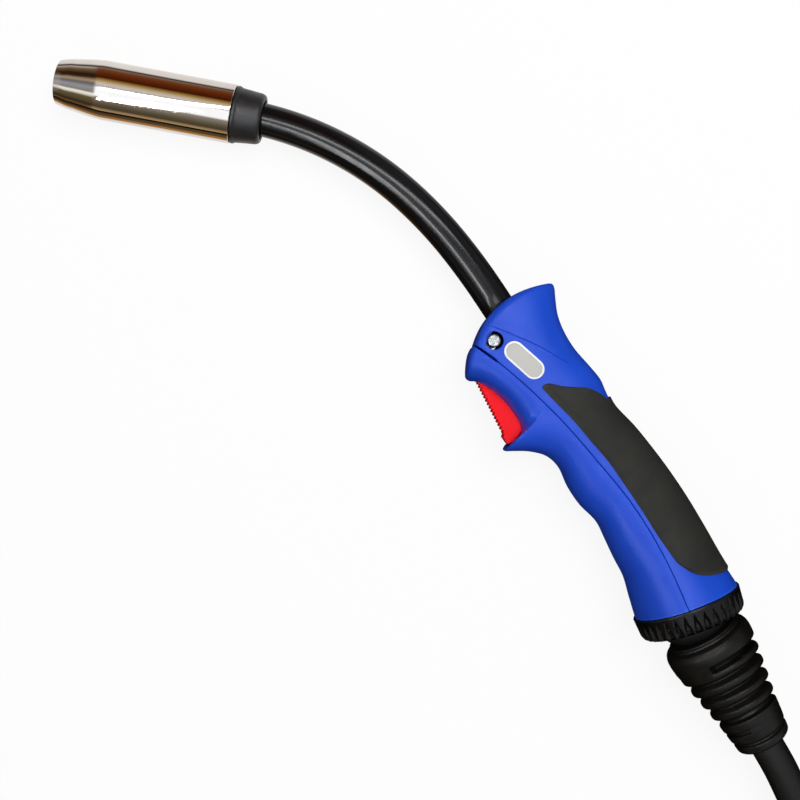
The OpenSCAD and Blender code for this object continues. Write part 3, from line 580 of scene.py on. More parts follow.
# u on the seam, then the outer edge (u, v), the bulge forwards and how square the section is
upper_stations = [
    (155.5, 149.4, -65.4, 6.8, 3), (154.3, 147.6, -67.5, 6.6, 3.1), (151, 145.2, -66.8, 6, 3.1),
    (145, 141, -62.9, 4, 3.1), (138, 135.5, -58.3, 2, 3.1), (129, 128, -54.5, 0.6, 3.1),
    (119, 119, -51.9, 0, 3), (109, 109, -50.7, 0, 3), (101, 101, -49.5, 0, 2.9),
    (95, 95, -46.9, 0, 2.8), (87, 87, -44, 0, 2.7), (74, 74, -43, 0, 2.5),
    (60, 60, -40.8, 0, 2.4), (47, 47, -38.2, 0, 2.25), (34, 33, -34.7, 0, 2.1),
    (22.3, 18, -30, 0, 2.1), (11.8, 3, -25, 0, 2.15), (2.4, -10.79, -21.21, 0, 2.25),
]
lower_stations = [
    (155.4, 150.3, -11, 1, 3), (154.2, 148.2, -7.9, 0.8, 3), (151, 146, -7.6, 0.4, 2.9),
    (146, 143.4, -9, 0, 2.7), (138, 137, -10.6, 0, 2.6), (129, 128, -11, 0, 2.6),
    (120, 119.5, -9.4, 0, 2.6), (115, 114.3, -7.6, 0, 2.7), (112.6, 111.6, -4.5, 0, 2.9),
    (111.4, 111.8, 1, 0, 3), (110.2, 112.3, 5, 0, 3.2), (108.8, 111.2, 5.6, 0, 3.2),
    (106, 108.2, 2.9, 0, 3), (101, 102.5, -1.9, 0, 2.6), (94, 95, -5.7, 0, 2.4),
    (86, 87, -5.6, 0, 2.4), (77, 78, -1.7, 0, 2.3), (67, 68, 0.8, 0, 2.3),
    (56, 57, 1.5, 0, 2.2), (46, 48, 5, 0, 2.2), (35, 39, 8.8, 0, 2.1), (24.4, 30, 12.2, 0, 2),
    (14, 22, 17.2, 0, 1.9), (2.4, 12.29, 23.15, 0, 1.85),
]


def smooth_at(table, x):
    """The value at x of the smooth curve through a table of (x, value)."""
    last = len(table) - 1
    i = max([k for k in range(last) if table[k][0] <= x] or [0])

    def slope(k):
        a, b = table[max(k - 1, 0)], table[min(k + 1, last)]
        return (b[1] - a[1]) / (b[0] - a[0])

    (x0, y0), (x1, y1) = table[i], table[i + 1]
    t, w = (x - x0) / (x1 - x0), x1 - x0
    return ((2 * t ** 3 - 3 * t * t + 1) * y0 + (t ** 3 - 2 * t * t + t) * w * slope(i)
            + (3 * t * t - 2 * t ** 3) * y1 + (t ** 3 - t * t) * w * slope(i + 1))


def station_at(stations, x):
    """The station x of a list, between its neighbours on one smooth curve."""
    last = len(stations) - 1
    i = min(int(x), last - 1)
    near = (stations[min(max(i + k, 0), last)] for k in (-1, 0, 1, 2))
    return [between(*four, x - i) for four in zip(*near)]


def chord_at(s, gap=0):
    """Where the section of a station starts on the seam, and its way to the outer edge."""
    root = Vector((s[0], smooth_at(seam, s[0]) + gap))
    return root, Vector((s[1], s[2])) - root


def bulge(s, rise):
    return s[3] * 4 * rise * (1 - rise)


def superellipse(s, rise):
    return max(1 - rise ** s[4], 0) ** (1 / s[4])


def shell_point(s, rise, inset, gap):
    """A point of a section: rise runs from 0 on the seam to 1 at the outer edge."""
    root, chord = chord_at(s, gap)
    high = rise * (1 - inset / chord.length)
    wide = (smooth_at(half_width, s[0]) - inset) * superellipse(s, rise)
    spot = root + chord * high + Vector((bulge(s, high), 0))
    return (spot.x, spot.y, wide)


def both_sides(row):
    """A row of points from the seam to the outer edge, and back down the other side."""
    return row + [(u, v, -w) for u, v, w in reversed(row[:-1])]


# %% Shell grids
flat_columns, round_columns, flat_share, lip = 12, 16, 0.66, (0, 0.1, 0.32)
shell_wall, front_round, front_rows, inner_from, shell_sharp = 2.6, 2.2, 6, 1.9, 32
hairline, slot_half_gap, slot_from = 0.1, 0.42, 142.6


def rises(s):
    """Rises of the columns from the seam: evenly up the side, then by angle over the top."""
    length = hypot(s[1] - s[0], s[2] - smooth_at(seam, s[0]))
    turn = asin(flat_share ** (s[4] / 2))
    side = [flat_share * k / flat_columns for k in range(1, flat_columns)]
    top = [
        sin(turn + (pi / 2 - turn) * k / round_columns) ** (2 / s[4])
        for k in range(round_columns + 1)
    ]
    return [x / length for x in lip] + side + top


def seam_half_gap(u):
    """Half the gap between the shells: a hairline, but an open slot behind the front."""
    return hairline + slot_half_gap * min(max((u - slot_from) / 0.8, 0), 1)


def shell_grid(stations, xs, inset, up):
    """One row of points for each station in xs, from side to side over the outer edge."""
    rows = []
    for x, front in xs:
        s = station_at(stations, x)
        half = rises(s)
        edge = [lip[-1] - r for r in lip] + [0] * (len(half) - len(lip))
        rows.append(both_sides([
            shell_point(s, r, inset or front + e * 0.8, up * seam_half_gap(s[0]))
            for r, e in zip(half, edge)
        ]))
    return rows


def walled(name, outer, inner, capped, sharp):
    """A closed wall between two grids of one size; their first rows are capped, or walled too."""
    rows, columns = len(outer), len(outer[0])
    far = rows * columns
    faces = grid_faces(rows, columns) + grid_faces(rows, columns, far)
    for start in (0, far) if capped else ():
        for j in range((columns - 1) // 2):
            a, b = start + j, start + columns - 1 - j
            faces.append((a, a + 1, b) if b - a == 2 else (a, a + 1, b - 1, b))
    loop = [i * columns for i in range(rows)]
    loop += [(rows - 1) * columns + j for j in range(1, columns)]
    loop += [i * columns + columns - 1 for i in range(rows - 2, -1, -1)]
    loop += [0] if capped else range(columns - 2, -1, -1)
    faces += [(a, b, b + far, a + far) for a, b in zip(loop, loop[1:])]
    return mesh_piece(name, [p for row in outer + inner for p in row], faces, torch, sharp)


def shell(name, stations, up, fine):
    """A closed wall between an outer and an inner grid, with a rounded front edge."""
    last = len(stations) - 1
    quarter = [pi / 2 * k / front_rows for k in range(front_rows, 0, -1)]
    front = [(1 - sin(a), front_round * (1 - cos(a))) for a in quarter]
    xs = front + [(1 + (last - 1) * k / fine, 0) for k in range(fine + 1)]
    deep = [(inner_from + (last - inner_from) * k / (len(xs) - 1), 0) for k in range(len(xs))]
    outer, inner = shell_grid(stations, xs, 0, up), shell_grid(stations, deep, shell_wall, up)
    return walled(name, outer, inner, True, shell_sharp)


upper_shell = shell("upper_shell", upper_stations, -1, 120)
lower_shell = shell("lower_shell", lower_stations, 1, 138)
print("shells:", len(upper_shell.data.polygons), "and", len(lower_shell.data.polygons), "faces")


# %% Cutting openings
def cut(piece, cutter):
    """Takes the cutter away from the piece and deletes the cutter."""
    modifier = piece.modifiers.new("cut", "BOOLEAN")
    modifier.operation, modifier.solver, modifier.object = "DIFFERENCE", "EXACT", cutter
    modifier.use_self = True
    bake(piece, modifier, shell_sharp)
    bpy.data.objects.remove(cutter)


def prism(name, outline, low, high, place=torch):
    """A straight prism over an outline, between two heights."""
    count = len(outline)
    points = [(x, y, low) for x, y in outline] + [(x, y, high) for x, y in outline]
    faces = [tuple(range(count)), tuple(range(count, 2 * count))]
    faces += [(i, (i + 1) % count, count + (i + 1) % count, count + i) for i in range(count)]
    return mesh_piece(name, points, faces, place)


def pill(size, margin=0, steps=16):
    """The outline of a pill of a length and width, centred, with a margin added to both."""
    length, width = size[0] + margin, size[1] + margin
    reach = (length - width) / 2
    half = [
        (reach + width / 2 * cos(a), width / 2 * sin(a))
        for a in (pi * k / steps - pi / 2 for k in range(steps + 1))
    ]
    return half + [(-x, -y) for x, y in half]


def bore(piece, name, steps, place, sides):
    """Cuts a hole of (radius, height) steps round the place's local Z."""
    profile = [(0, steps[0][1]), *steps, (0, steps[-1][1])]
    cut(piece, turned(name, profile, place, sides))


screw_uv, badge_uv, badge_size = (150.1, -28.5), (133.4, -30.6), (21.5, 9.3)
screw_place = at(screw_uv)
badge_place = at(badge_uv) @ turning(0.9, "X") @ turning(1.4, "Y")
neck_place = along(neck_root, neck_rear_heading)
bore(upper_shell, "neck_hole", [(8.3, -16), (8.3, 8), (8.9, 12.5), (8.9, 16)], neck_place, 64)
bore(upper_shell, "counterbore", [(4.25, 14.6), (4.25, 17.7), (4.9, 18.35), (4.9, 21)],
     screw_place, 64)
bore(upper_shell, "screw_hole", [(1.75, 12), (1.75, 16)], screw_place, 32)
bore(upper_shell, "nut_pocket", [(3.5, -22), (3.5, -14.5)], screw_place, 48)
cut(upper_shell, prism("badge_recess", pill(badge_size, 0.1), 17.4, 21, badge_place))
slot_outline = [(144.4, -16), (144.4, 0), (112.2, 14), (112.2, 3.3), (109.4, 3.1), (109.4, -16)]
cut(lower_shell, prism("trigger_opening", slot_outline, -7.9, 7.9))

# %% [markdown]
# The horn is moulded with a fine groove from the neck's opening to the back, above the screw. A
# thin tube that follows the surface cuts it, because a groove half a millimetre wide is finer
# than the shell's rows. A search finds the station and rise of each of its points.

# %% Groove across the horn
groove_line = [
    (155.8, -32.5, 0), (145.5, -36.1, 0), (135.4, -39.5, 0), (126, -41.7, 0), (117.5, -43.5, 0)
]
groove_r, groove_sides, groove_sink = 0.36, 8, 0.05


def on_upper_shell(u, v):
    """The height w of the upper shell's surface over a point of the torch's plane."""
    best = None
    for k in range(700):
        s = station_at(upper_stations, k / 100)
        root, chord = chord_at(s)
        rise = (v - root.y) / chord.y
        off = abs(root.x + chord.x * rise + bulge(s, rise) - u)
        if best is None or off < best[0]:
            best = (off, smooth_at(half_width, s[0]) * superellipse(s, abs(rise)))
    return best[1]


for side in (1, -1):
    groove = [
        Vector((p.x, p.y, side * (on_upper_shell(p.x, p.y) - groove_sink)))
        for p in smooth(groove_line, 4)
    ]
    cut(upper_shell, tube("groove_cutter", groove, groove_r, groove_sides, torch))
fit(upper_shell, blue, "handle_upper_shell")
fit(lower_shell, blue, "handle_lower_shell")

# %% [markdown]
# ## Soft grip
# A charcoal rubber pad is moulded over the handle's back for the palm. It lies on the upper
# shell's own surface, so its grid is laid in the shell's terms, station and rise, and lifted a
# millimetre. Tables give its front, rear and low edges, and its rim is rolled down.

# %% Grip grid
grip_rows, grip_columns, grip_lift, grip_sole, grip_gap = 90, 65, 1.15, 0.12, -0.1
grip_long, grip_high, rim_roll = 110, 30, 0.9
# Stations of the front and rear edges, from the low edge at 0 to the back at 1
grip_front = [
    (0, 5.84), (0.056, 6.05), (0.13, 6.6), (0.24, 7.15), (0.35, 7.62), (0.47, 8.45),
    (0.62, 9.25), (1, 9.4),
]
grip_rear = [
    (0, 15.1), (0.06, 15.55), (0.14, 15.85), (0.23, 16.03), (0.33, 16.15), (0.53, 16.28),
    (1, 16.42),
]
# Rise of the low edge by station
grip_low = [
    (5.8, 0.14), (7, 0.13), (10, 0.15), (11, 0.148), (12, 0.1), (13, 0.08), (14, 0.086),
    (15, 0.147), (15.6, 0.19), (16.5, 0.2),
]


def grip_place(t, c):
    """Station and low rise of the grip at t along it and c from its lower edge to the back."""
    x = smooth_at(grip_front, c) * (1 - t) + smooth_at(grip_rear, c) * t
    return x, smooth_at(grip_low, min(max(x, grip_low[0][0]), grip_low[-1][0]))


def corner(t, c, reach_t=0.015, reach_c=0.05):
    """Bends the grid's corner nearest (0, 0) into a quarter circle."""
    p = Vector((max(1 - t / reach_t, 0), max(1 - c / reach_c, 0)))
    if p.length < 1e-9:
        return t, c
    q = p * max(p.x, p.y) / p.length
    return (reach_t * (1 - q.x) if p.x > 0 else t), (reach_c * (1 - q.y) if p.y > 0 else c)


def rolled(lift, t, c):
    """The lift at a place of the grip, lower within a strip along its rim."""
    edge = min(t * grip_long, (1 - t) * grip_long, c * grip_high)
    roll = 1 - min(edge / rim_roll, 1)
    return 0.3 + (lift - 0.3) * sqrt(max(1 - roll * roll, 0))


def grip_grid(lift, roll=True):
    """Rows of the grip's outside or of its sole, lifted off the upper shell."""
    rows = []
    for i in range(grip_rows + 1):
        row = []
        for j in range(grip_columns // 2 + 1):
            t, c = i / grip_rows, 2 * j / (grip_columns - 1)
            up = rolled(lift, t, c) if roll else lift
            t, c = corner(t, c)
            x, low = grip_place(t, c)
            s = station_at(upper_stations, x)
            base = asin(low ** (s[4] / 2))
            rise = sin(base + (pi / 2 - base) * c) ** (2 / s[4])
            row.append(shell_point(s, rise, -up, grip_gap))
        rows.append(both_sides(row))
    return rows


grip = walled("soft_grip_pad", grip_grid(grip_lift), grip_grid(grip_sole, False), False, 40)
fit(grip, charcoal, "soft_grip")

# %% [markdown]
# ## Badge and screw
# The badge's place keeps a bare silver-grey pill with a paler rim, pressed into its recess. The
# shells are held by one zinc-plated screw, deep in a round counterbore.

# %% Badge
badge_floor, badge_top, rim_top = 17.4, 18.64, 18.74
badge = prism("badge_face", pill(badge_size, -1.9), badge_floor - 0.1, badge_top, badge_place)
crown = badge.modifiers.new("edge", "BEVEL")
crown.width, crown.segments, crown.limit_method = 0.15 * MM, 2, "ANGLE"
fit(badge, silver_grey, "badge_plate")
outer_pill, inner_pill = pill(badge_size), pill(badge_size, -1.8)
rim_rows = (
    (outer_pill, badge_floor), (outer_pill, rim_top - 0.16), (inner_pill, rim_top),
    (inner_pill, badge_floor),
)
badge_rim = mesh_piece(
    "badge_rim", [(x, y, z) for row, z in rim_rows for x, y in row],
    grid_faces(len(rim_rows), len(outer_pill), closed=True, ring=True), badge_place,
)
fit(badge_rim, pale_rim, "badge_plate")

# %% Screw
screw = turned(
    "cross_head_screw",
    rounded([(0, -16), (1.5, -16, 0.3), (1.5, 14.7, 0), (3.2, 14.7, 0.2), (3.2, 16.5, 0.5),
             (2.4, 17.05, 0.6), (0, 17.1)]),
    screw_place, 64,
)
recess_arm = [(-2.3, -0.6), (2.3, -0.6), (2.3, 0.6), (-2.3, 0.6)]
for turn in (20, 110):
    cut(screw, prism("recess", recess_arm, 14.9, 18, at(screw_uv, turn)))
fit(screw, zinc, "handle_screw")

# %% [markdown]
# ## Trigger
# The trigger is one bright red moulding. Its finger side has a row of small rounded ridges, so
# the outline is drawn once, with a ridge repeated along the finger's line, then given its
# thickness and a fine bevel.

# %% Trigger
tip, heel, ridge_pitch, ridge_depth = Vector((143, -9.5)), Vector((117.1, 0.4)), 1.85, 0.9
ridge_count = round((heel - tip).length / ridge_pitch)
step = (heel - tip) / ridge_count
inward = Vector((step.y, -step.x)).normalized() * -ridge_depth
# One ridge: its share of the way to the next one, and how deep it lies
ridge_shape = ((0, 1), (0.22, 0.25), (0.5, 0), (0.78, 0.25))
ridges = [
    tip + step * k + step * run + inward * deep
    for k in range(ridge_count)
    for run, deep in ridge_shape
]
back = smooth(
    [(112.8, 2.5, 0), (111.9, 0, 0), (111.9, -4, 0), (112.4, -8.5, 0), (114.5, -11.6, 0),
     (120, -13.6, 0), (128.5, -14.45, 0), (134.9, -15.2, 0)],
    3,
)
hinge_end = [
    (135.7, -17.2), (137.4, -18.6), (139.6, -18.9), (142, -17.9), (143.4, -16), (143.9, -13)
]
outline = [tuple(p) for p in ridges] + [tuple(heel), (116.6, 1.6)]
outline += [(p.x, p.y) for p in back] + hinge_end
trigger = prism("trigger_lever", outline, -7.4, 7.4)
bore(trigger, "pin_hole", [(1.6, -9), (1.6, 4.9), (3, 4.9), (3, 9)], at((139, -15)), 32)
soften = trigger.modifiers.new("soft_edges", "BEVEL")
soften.width, soften.segments = 0.3 * MM, 2
soften.limit_method, soften.angle_limit = "ANGLE", radians(50)
fit(trigger, signal_red, "trigger")
print("trigger with", ridge_count, "ridges")

# %% [markdown]
# ## Handle nut
# The black ring nut closes the handle on the swivel. It has 34 tapering grooves for the fingers:
# one sector with half a groove on either side is drawn, and Geometry Nodes repeat it round the
# axis and merge the joints.

# %% Repeating a sector round an axis
around, given, end = new_tree("repeat_round_axis", Count="Int", Material="Material")
spots = add(around, "GeometryNodePoints", Count=given["Count"]).outputs[0]
pitch = maths(around, "DIVIDE", 2 * pi, given["Count"])
index = add(around, "GeometryNodeInputIndex").outputs[0]
spin = add(around, "ShaderNodeCombineXYZ", Z=maths(around, "MULTIPLY", index, pitch)).outputs[0]
repeated = add(
    around, "GeometryNodeInstanceOnPoints", Points=spots, Instance=given["Geometry"],
    Rotation=spin,
).outputs[0]
loose = add(around, "GeometryNodeRealizeInstances", repeated).outputs[0]
weld = add(around, "GeometryNodeMergeByDistance", loose, Distance=weld_reach)
close_tree(around, given, end, weld.outputs[0])


def repeated_ring(name, count, profile, depth, steps, place, material):
    """A turned ring from one sector, its outside pressed in by depth(height, side nearness)."""
    points = []
    for k in range(steps + 1):
        a = 2 * pi / count * (k / steps - 0.5)
        near = abs(2 * k / steps - 1)
        for r, z, outside in profile:
            r -= depth(z, near) if outside else 0
            points.append((r * cos(a), r * sin(a), z))
    mesh = bpy.data.meshes.new(name)
    mesh.from_pydata(points, [], grid_faces(steps + 1, len(profile), closed=True))
    piece = show(name, mesh)
    grow(piece, around, Count=count, Material=material)
    work = bmesh.new()
    work.from_mesh(piece.data)
    bmesh.ops.transform(work, matrix=place, verts=work.verts)
    bmesh.ops.recalc_face_normals(work, faces=work.faces)
    work.to_mesh(piece.data)
    work.free()
    return piece


# %% Handle nut
nut_r, nut_front, nut_length, nut_grooves, groove_depth = 26, -2.9, 11, 34, 1.5
socket_r = 21.4
handle_rear = along(swivel_in_plane, -27.5 + 180)
socket_wall = [(sqrt(socket_r ** 2 - z * z), z) for z in (7, 6.5, 5.5, 4.5, 3.5)]
nut_outside = (
    (nut_r - 0.7, nut_front), (nut_r - 0.2, nut_front + 0.15), (nut_r, nut_front + 0.6),
    *((nut_r - 0.08 * z, nut_front + z) for z in (1.2, 1.8, 2.6, 3.6, 4.8, 6, 7.2, 8.4)),
    (nut_r - 0.95, nut_front + 9.3), (nut_r - 1.4, nut_front + 10.2),
    (nut_r - 2.1, nut_front + 10.9),
)
nut_inside = (
    (nut_r - 2.6, nut_front + nut_length), (19.2, nut_front + nut_length),
    (18.8, nut_front + nut_length - 0.3), (18.7, 7.4), *socket_wall, (23.4, 3.5),
    (23.4, nut_front),
)


def marked(outside, inside):
    """A sector's profile, with a mark on the points that its grooves press in."""
    return [(*p, True) for p in outside] + [(*p, False) for p in inside]


def pointed_groove(z, near):
    """A groove that starts in a point behind the front edge and widens to the rear."""
    run = min(max((z - nut_front - 1.1) / 7.5, 0), 1)
    return groove_depth * min(max((near - 1 + 0.75 * run) / 0.3, 0), 1) * min(run * 3, 1)


ring_nut = repeated_ring(
    "grooved_ring_nut", nut_grooves, marked(nut_outside, nut_inside), pointed_groove, 12,
    handle_rear, nut_black,
)
fit(ring_nut, nut_black, "handle_nut")

# %% [markdown]
# ## Bend boot
# The rubber boot lets the cable bend without kinking where it enters the swivel: a bell, four
# ribs that get smaller, and a cuff that grips the cable. Its grooves are deeper on the back
# than on the trigger's side, a slot behind the bell and a notch in the cuff run only part of
# the way round, and the ribs lean a little to one side. So one profile is worked out for each
# angle, and the profiles are joined into a ring.

# %% Boot
rib_count, rib_pitch, boot_sides, boot_bore, bell_bore, boot_lean = 4, 7.1, 144, 8.1, 12.7, 0.12


def boot_profile(right):
    """The boot's profile where right is 1, on its back, down to -1 on the trigger's side."""
    deep = 3.3 + right
    slot = deep + 2.2 if right > -0.3 else 0
    notch = 1.6 if right < -0.28 else 0
    profile = [
        (16.2, 13.5, 0.4), (17, 13.7, 0.4), (17.2, 14.4, 0.3), (17.7, 14.6, 0.3),
        (18, 15.6, 0.3), (18.8, 15.9, 0.4), (20.2, 16.6, 0.9), (21.2, 19, 1.5),
        (21.3, 22.5, 1.5), (20.9, 26.2, 0.8 if slot else 0.2), (20.9 - slot, 26.7, 0.5),
        (20.2 - slot, 29.6, 0.5), (20.2 - slot * 0.12, 30, 0.5 if slot else 0.2),
    ]
    for k in range(rib_count):
        z = 31.5 + rib_pitch * k
        r = 20.1 - 0.178 * rib_pitch * k
        profile += [(r, z - 0.3, 0.9), (r - 0.2, z + 1.2, 0.8), (r - 0.9 - deep, z + 2.9, 0.5)]
        if k < rib_count - 1:
            profile += [(r - 1 - deep, z + 3.6, 0.5), (r - 1.4, z + 5.6, 0.8)]
    profile += [
        (12.6, 57.4 + 0.4 * right, 0.5), (15.2, 58.2 - 0.4 * right, 0.7), (14.75, 62.2, 0.3),
        (14.6 - notch, 62.5, 0.3), (14.5 - notch, 64.2, 0.3), (14.45, 64.5, 0.3),
        (13.9, 68.2, 0.7), (12.3, 68.9, 0.4), (12.3, 69.7, 0.4), (13.6, 70.3, 0.6),
        (13.2, 73.6, 0.8), (11.4, boot_length, 0.6), (boot_bore, boot_length, 0.4),
        (boot_bore, 26.2, 0), (bell_bore, 26.2, 0), (bell_bore, 13.5, 0.2),
    ]
    return rounded(profile, 0.5, 3)


def lean_at(z):
    """How much of the radius the ribs lean aside by, fading out at the bell and the cuff."""
    return boot_lean * min(max((z - 18) / 8, 0), max((70 - z) / 8, 0), 1)


boot_points = []
for k in range(boot_sides):
    a = 2 * pi * k / boot_sides
    for r, z in boot_profile(sin(a)):
        boot_points.append((r * cos(a), r * sin(a), z + lean_at(z) * r * cos(a)))
boot_faces = grid_faces(boot_sides, len(boot_points) // boot_sides, closed=True, ring=True)
boot = mesh_piece("bend_boot_rubber", boot_points, boot_faces, boot_place, 42)
fit(boot, boot_black, "bend_boot")

# %% [markdown]
# ## Coil straps
# Two hook-and-loop straps hold the coil. A strap is a band wrapped round the bundle: its rounded
# section is swept along the bundle's outline, a box with round corners.

# %% Band round an outline
def round_box(width, height, r, steps=6):
    """A closed outline of a box with round corners, with its outward directions."""
    out = []
    for side_x, side_y, start in ((1, 1, 0), (-1, 1, 90), (-1, -1, 180), (1, -1, 270)):
        for k in range(steps + 1):
            way = heading(start + 90 * k / steps)
            middle = Vector((side_x * (width / 2 - r), side_y * (height / 2 - r)))
            out.append((middle + r * way, way))
    return out


def band(name, line, section, place):
    """A section of (outwards, across) swept along a closed line of points and outward ways."""
    points = [(*(p + way * o), z) for p, way in line for o, z in section]
    faces = grid_faces(len(line), len(section), closed=True, ring=True)
    return mesh_piece(name, points, faces, place, 50)


# %% Straps
strap_thick, strap_width, strap_turns, bundle_tall = 1.1, 18, (160, 345), layer_rise + 16.4
strap_section = rounded(
    [(0, 0), (strap_thick, 0), (strap_thick, strap_width), (0, strap_width)], 0.35, 2
)


def radii(a):
    """Radii of the coil's turns where it passes a heading."""
    half, first = coil_turns / 2, ((a - coil_entry + 720) % 360) / 360
    passes = (k + first for k in range(6) if k + first < coil_turns)
    return [coil_across / 2 - turn_pitch * (half - abs(t - half)) for t in passes]


straps = []
for n, a in enumerate(strap_turns, 1):
    low, high = min(radii(a)) - cable_d / 2 - 1.6, max(radii(a)) + cable_d / 2 + 0.6
    middle = ((low + high) / 2, strap_width / 2, 1.2 + bundle_tall / 2)
    place = (
        in_mm @ Matrix.Translation(coil_centre) @ turning(a, "Z")
        @ Matrix.Translation(middle) @ turning(90, "X")
    )
    bundle = round_box(high - low, bundle_tall, 3)
    straps.append(band(f"coil_strap_{n}", bundle, strap_section, place))
    fit(straps[-1], strap_black, "coil_ties")

# %% [markdown]
# ## Connector
# The plug's rubber boot is turned like the torch's, and the union nut repeats one fluted sector.
# Both are black mouldings, with every edge rounded.

# %% Plug boot
plug_place = in_mm @ Matrix.Translation(plug_at) @ turning(90, "Y")
plug_profile = [(8.1, 0.1), (10.2, 0.1, 0.6), (11.3, 1.5, 0.5), (11.6, 6.6, 0.8)]
for k in range(5):
    z, r = 10 + 6 * k, 12.4 + 0.75 * k
    plug_profile += [
        (r - 2.3, z - 1.9, 0.5), (r - 0.2, z - 1.5, 0.7), (r - 0.1, z + 1.3, 0.7),
        (r - 2.2, z + 1.9, 0.5),
    ]
plug_profile += [
    (16.6, 38.2, 1), (17.3, 45.5, 0.5), (14.9, 45.8, 0.3), (14.9, 51.4, 0.3), (8.1, 51.4, 0.3)
]
plug_boot = turned("plug_boot_rubber", rounded(plug_profile, 0.5, 4), plug_place, 72)
fit(plug_boot, boot_black, "plug_boot")

# %% Union nut
union_r, union_flutes = 23.5, 12
union_outside = (
    (union_r - 2.2, 106.4), (union_r - 1.2, 106.7), (union_r - 0.5, 107.7),
    *((union_r - 0.4, z) for z in (109, 112, 116, 128, 131)),
    (union_r - 0.6, 132.8), (union_r - 1.2, 133.8),
)
union_inside = (
    (union_r - 2.4, 134), (18.1, 134), (17.7, 133.6), (17.7, 110), (14.2, 110), (14.2, 106.4)
)


def flute(z, near):
    """A round flute that fades in behind the front edge."""
    return 1.5 * max(near - 0.45, 0) ** 0.5 * min(max((z - 108.5) / 3, 0), 1)


union = repeated_ring(
    "fluted_union_nut", union_flutes, marked(union_outside, union_inside), flute, 16,
    plug_place, housing_black,
)
fit(union, housing_black, "union_nut")

# %% [markdown]
# ## Imported parts that keep their shape
# The inner parts, fasteners and contacts are right as packed. They keep their meshes and only
# get finishes. Those of the connector are on the cable.

# %% Finishes of the imported parts
torch_parts = {
    blue: ["thread_ring"],
    zinc: ["screw_nut", "trigger_pin"],
    inner_black: ["neck_holder", "switch_carrier", "microswitch", "swivel_ball"],
    brass: ["neck_block", "neck_tube"],
    copper: ["tip_holder", "contact_tip"],
    spring: ["wire_liner", "nozzle_spring", "trigger_spring"],
    ceramic: ["gas_diffuser", "socket_liner"],
    plunger_tone: ["switch_plunger"],
    lead_tone: ["switch_leads"],
    jacket: ["power_lead", "cable_entry"],
}
connector_parts = {
    jacket: ["plug_cable_end"],
    housing_black: ["plug_shell_top", "plug_shell_bottom"],
    zinc: ["plug_screws"],
    brass: ["plug_body"],
    inner_black: ["plug_insulator"],
    seal_black: ["spigot_o_ring"],
    gold: ["contact_pin_near", "contact_pin_far"],
    spring: ["contact_spring_near", "contact_spring_far"],
}


def paint(parts):
    """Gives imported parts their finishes, and returns the parts."""
    painted = []
    for made, nodes in parts.items():
        for node in nodes:
            target = frame["nodes"][node]
            if not target.material_slots:
                target.data.materials.append(made)
            for holder in target.material_slots:
                holder.material = made
            painted.append(target)
    return painted


on_torch, on_cord = paint(torch_parts), paint(connector_parts)
print(len(on_torch) + len(on_cord), "packed parts keep their shape")

# %% [markdown]
# ## Bench and light
# The bench is a wide white sheet. What the camera or glass sees of it is mostly its own white
# and partly lit, so it reads as paper white and still takes a soft shadow. The light that it
# bounces back is weaker than that, or dark parts would look milky. An even sky and two big soft
# panels light the torch. A mirror sees neither: above the bench it sees a ring of cards and
# three strips. On the bench it sees a painted reflection: in gloss only, the bench glows white
# by the nozzle, golden and dark further off. Polished things are shown like this in a studio,
# because in a plain white room a chromed nozzle would look like white paper.

# %% Bench
bench_half, bench_sink = 4000, 0.3
bench_corners = [
    (x * bench_half, y * bench_half, -bench_sink)
    for x, y in ((-1, -1), (1, -1), (1, 1), (-1, 1))
]
bench = mesh_piece("bench_top", bench_corners, [(0, 1, 2, 3)])
print("bench", 2 * bench_half * MM, "m wide")


# %% Helpers for the bench and the sky
def either_ray(tree, *names):
    """One for any of the named kinds of ray, and none for the rest."""
    rays = add(tree, "ShaderNodeLightPath").outputs
    total = rays[names[0]]
    for name in names[1:]:
        total = maths(tree, "MAXIMUM", total, rays[name])
    return total


def mixed(tree, factor, a, b):
    return add(tree, "ShaderNodeMixShader", factor, a, b).outputs[0]


def vector_maths(tree, operation, output, a, b):
    return add(tree, "ShaderNodeVectorMath", a, b, operation=operation).outputs[output]


# %% Finish of the bench
white, bounced_white = (1, 1, 1, 1), (0.4, 0.4, 0.4, 1)
golden, dark_gold = srgb(188, 136, 72), srgb(96, 80, 56)
nozzle_middle = nozzle_place @ Vector((0, 0, -nozzle_length / 2))
nozzle_side = (*heading(nozzle_heading + 90), 0)
bench_white, sheet, matt = new_finish("bench_white")
matt.inputs["Roughness"].default_value = 0.9
matt.inputs["Specular IOR Level"].default_value = 0.1
lit_tone = blend_tones(sheet, either_ray(sheet, "Is Diffuse Ray"), white, bounced_white)
feed(sheet, matt.inputs["Base Color"], lit_tone)

# Its own white, a little weaker near the nozzle, where the shadows are
on_sheet = add(sheet, "ShaderNodeTexCoord").outputs["Object"]
from_nozzle = vector_maths(sheet, "DISTANCE", "Value", on_sheet, nozzle_middle)
direct = either_ray(sheet, "Is Camera Ray", "Is Transmission Ray")
own_white = maths(sheet, "MULTIPLY", direct, spread(sheet, from_nozzle, 0.8, 1.6, 0.9, 1))
glow = add(sheet, "ShaderNodeEmission", white, 1.0).outputs[0]
seen_sheet = mixed(sheet, own_white, matt.outputs[0], glow)
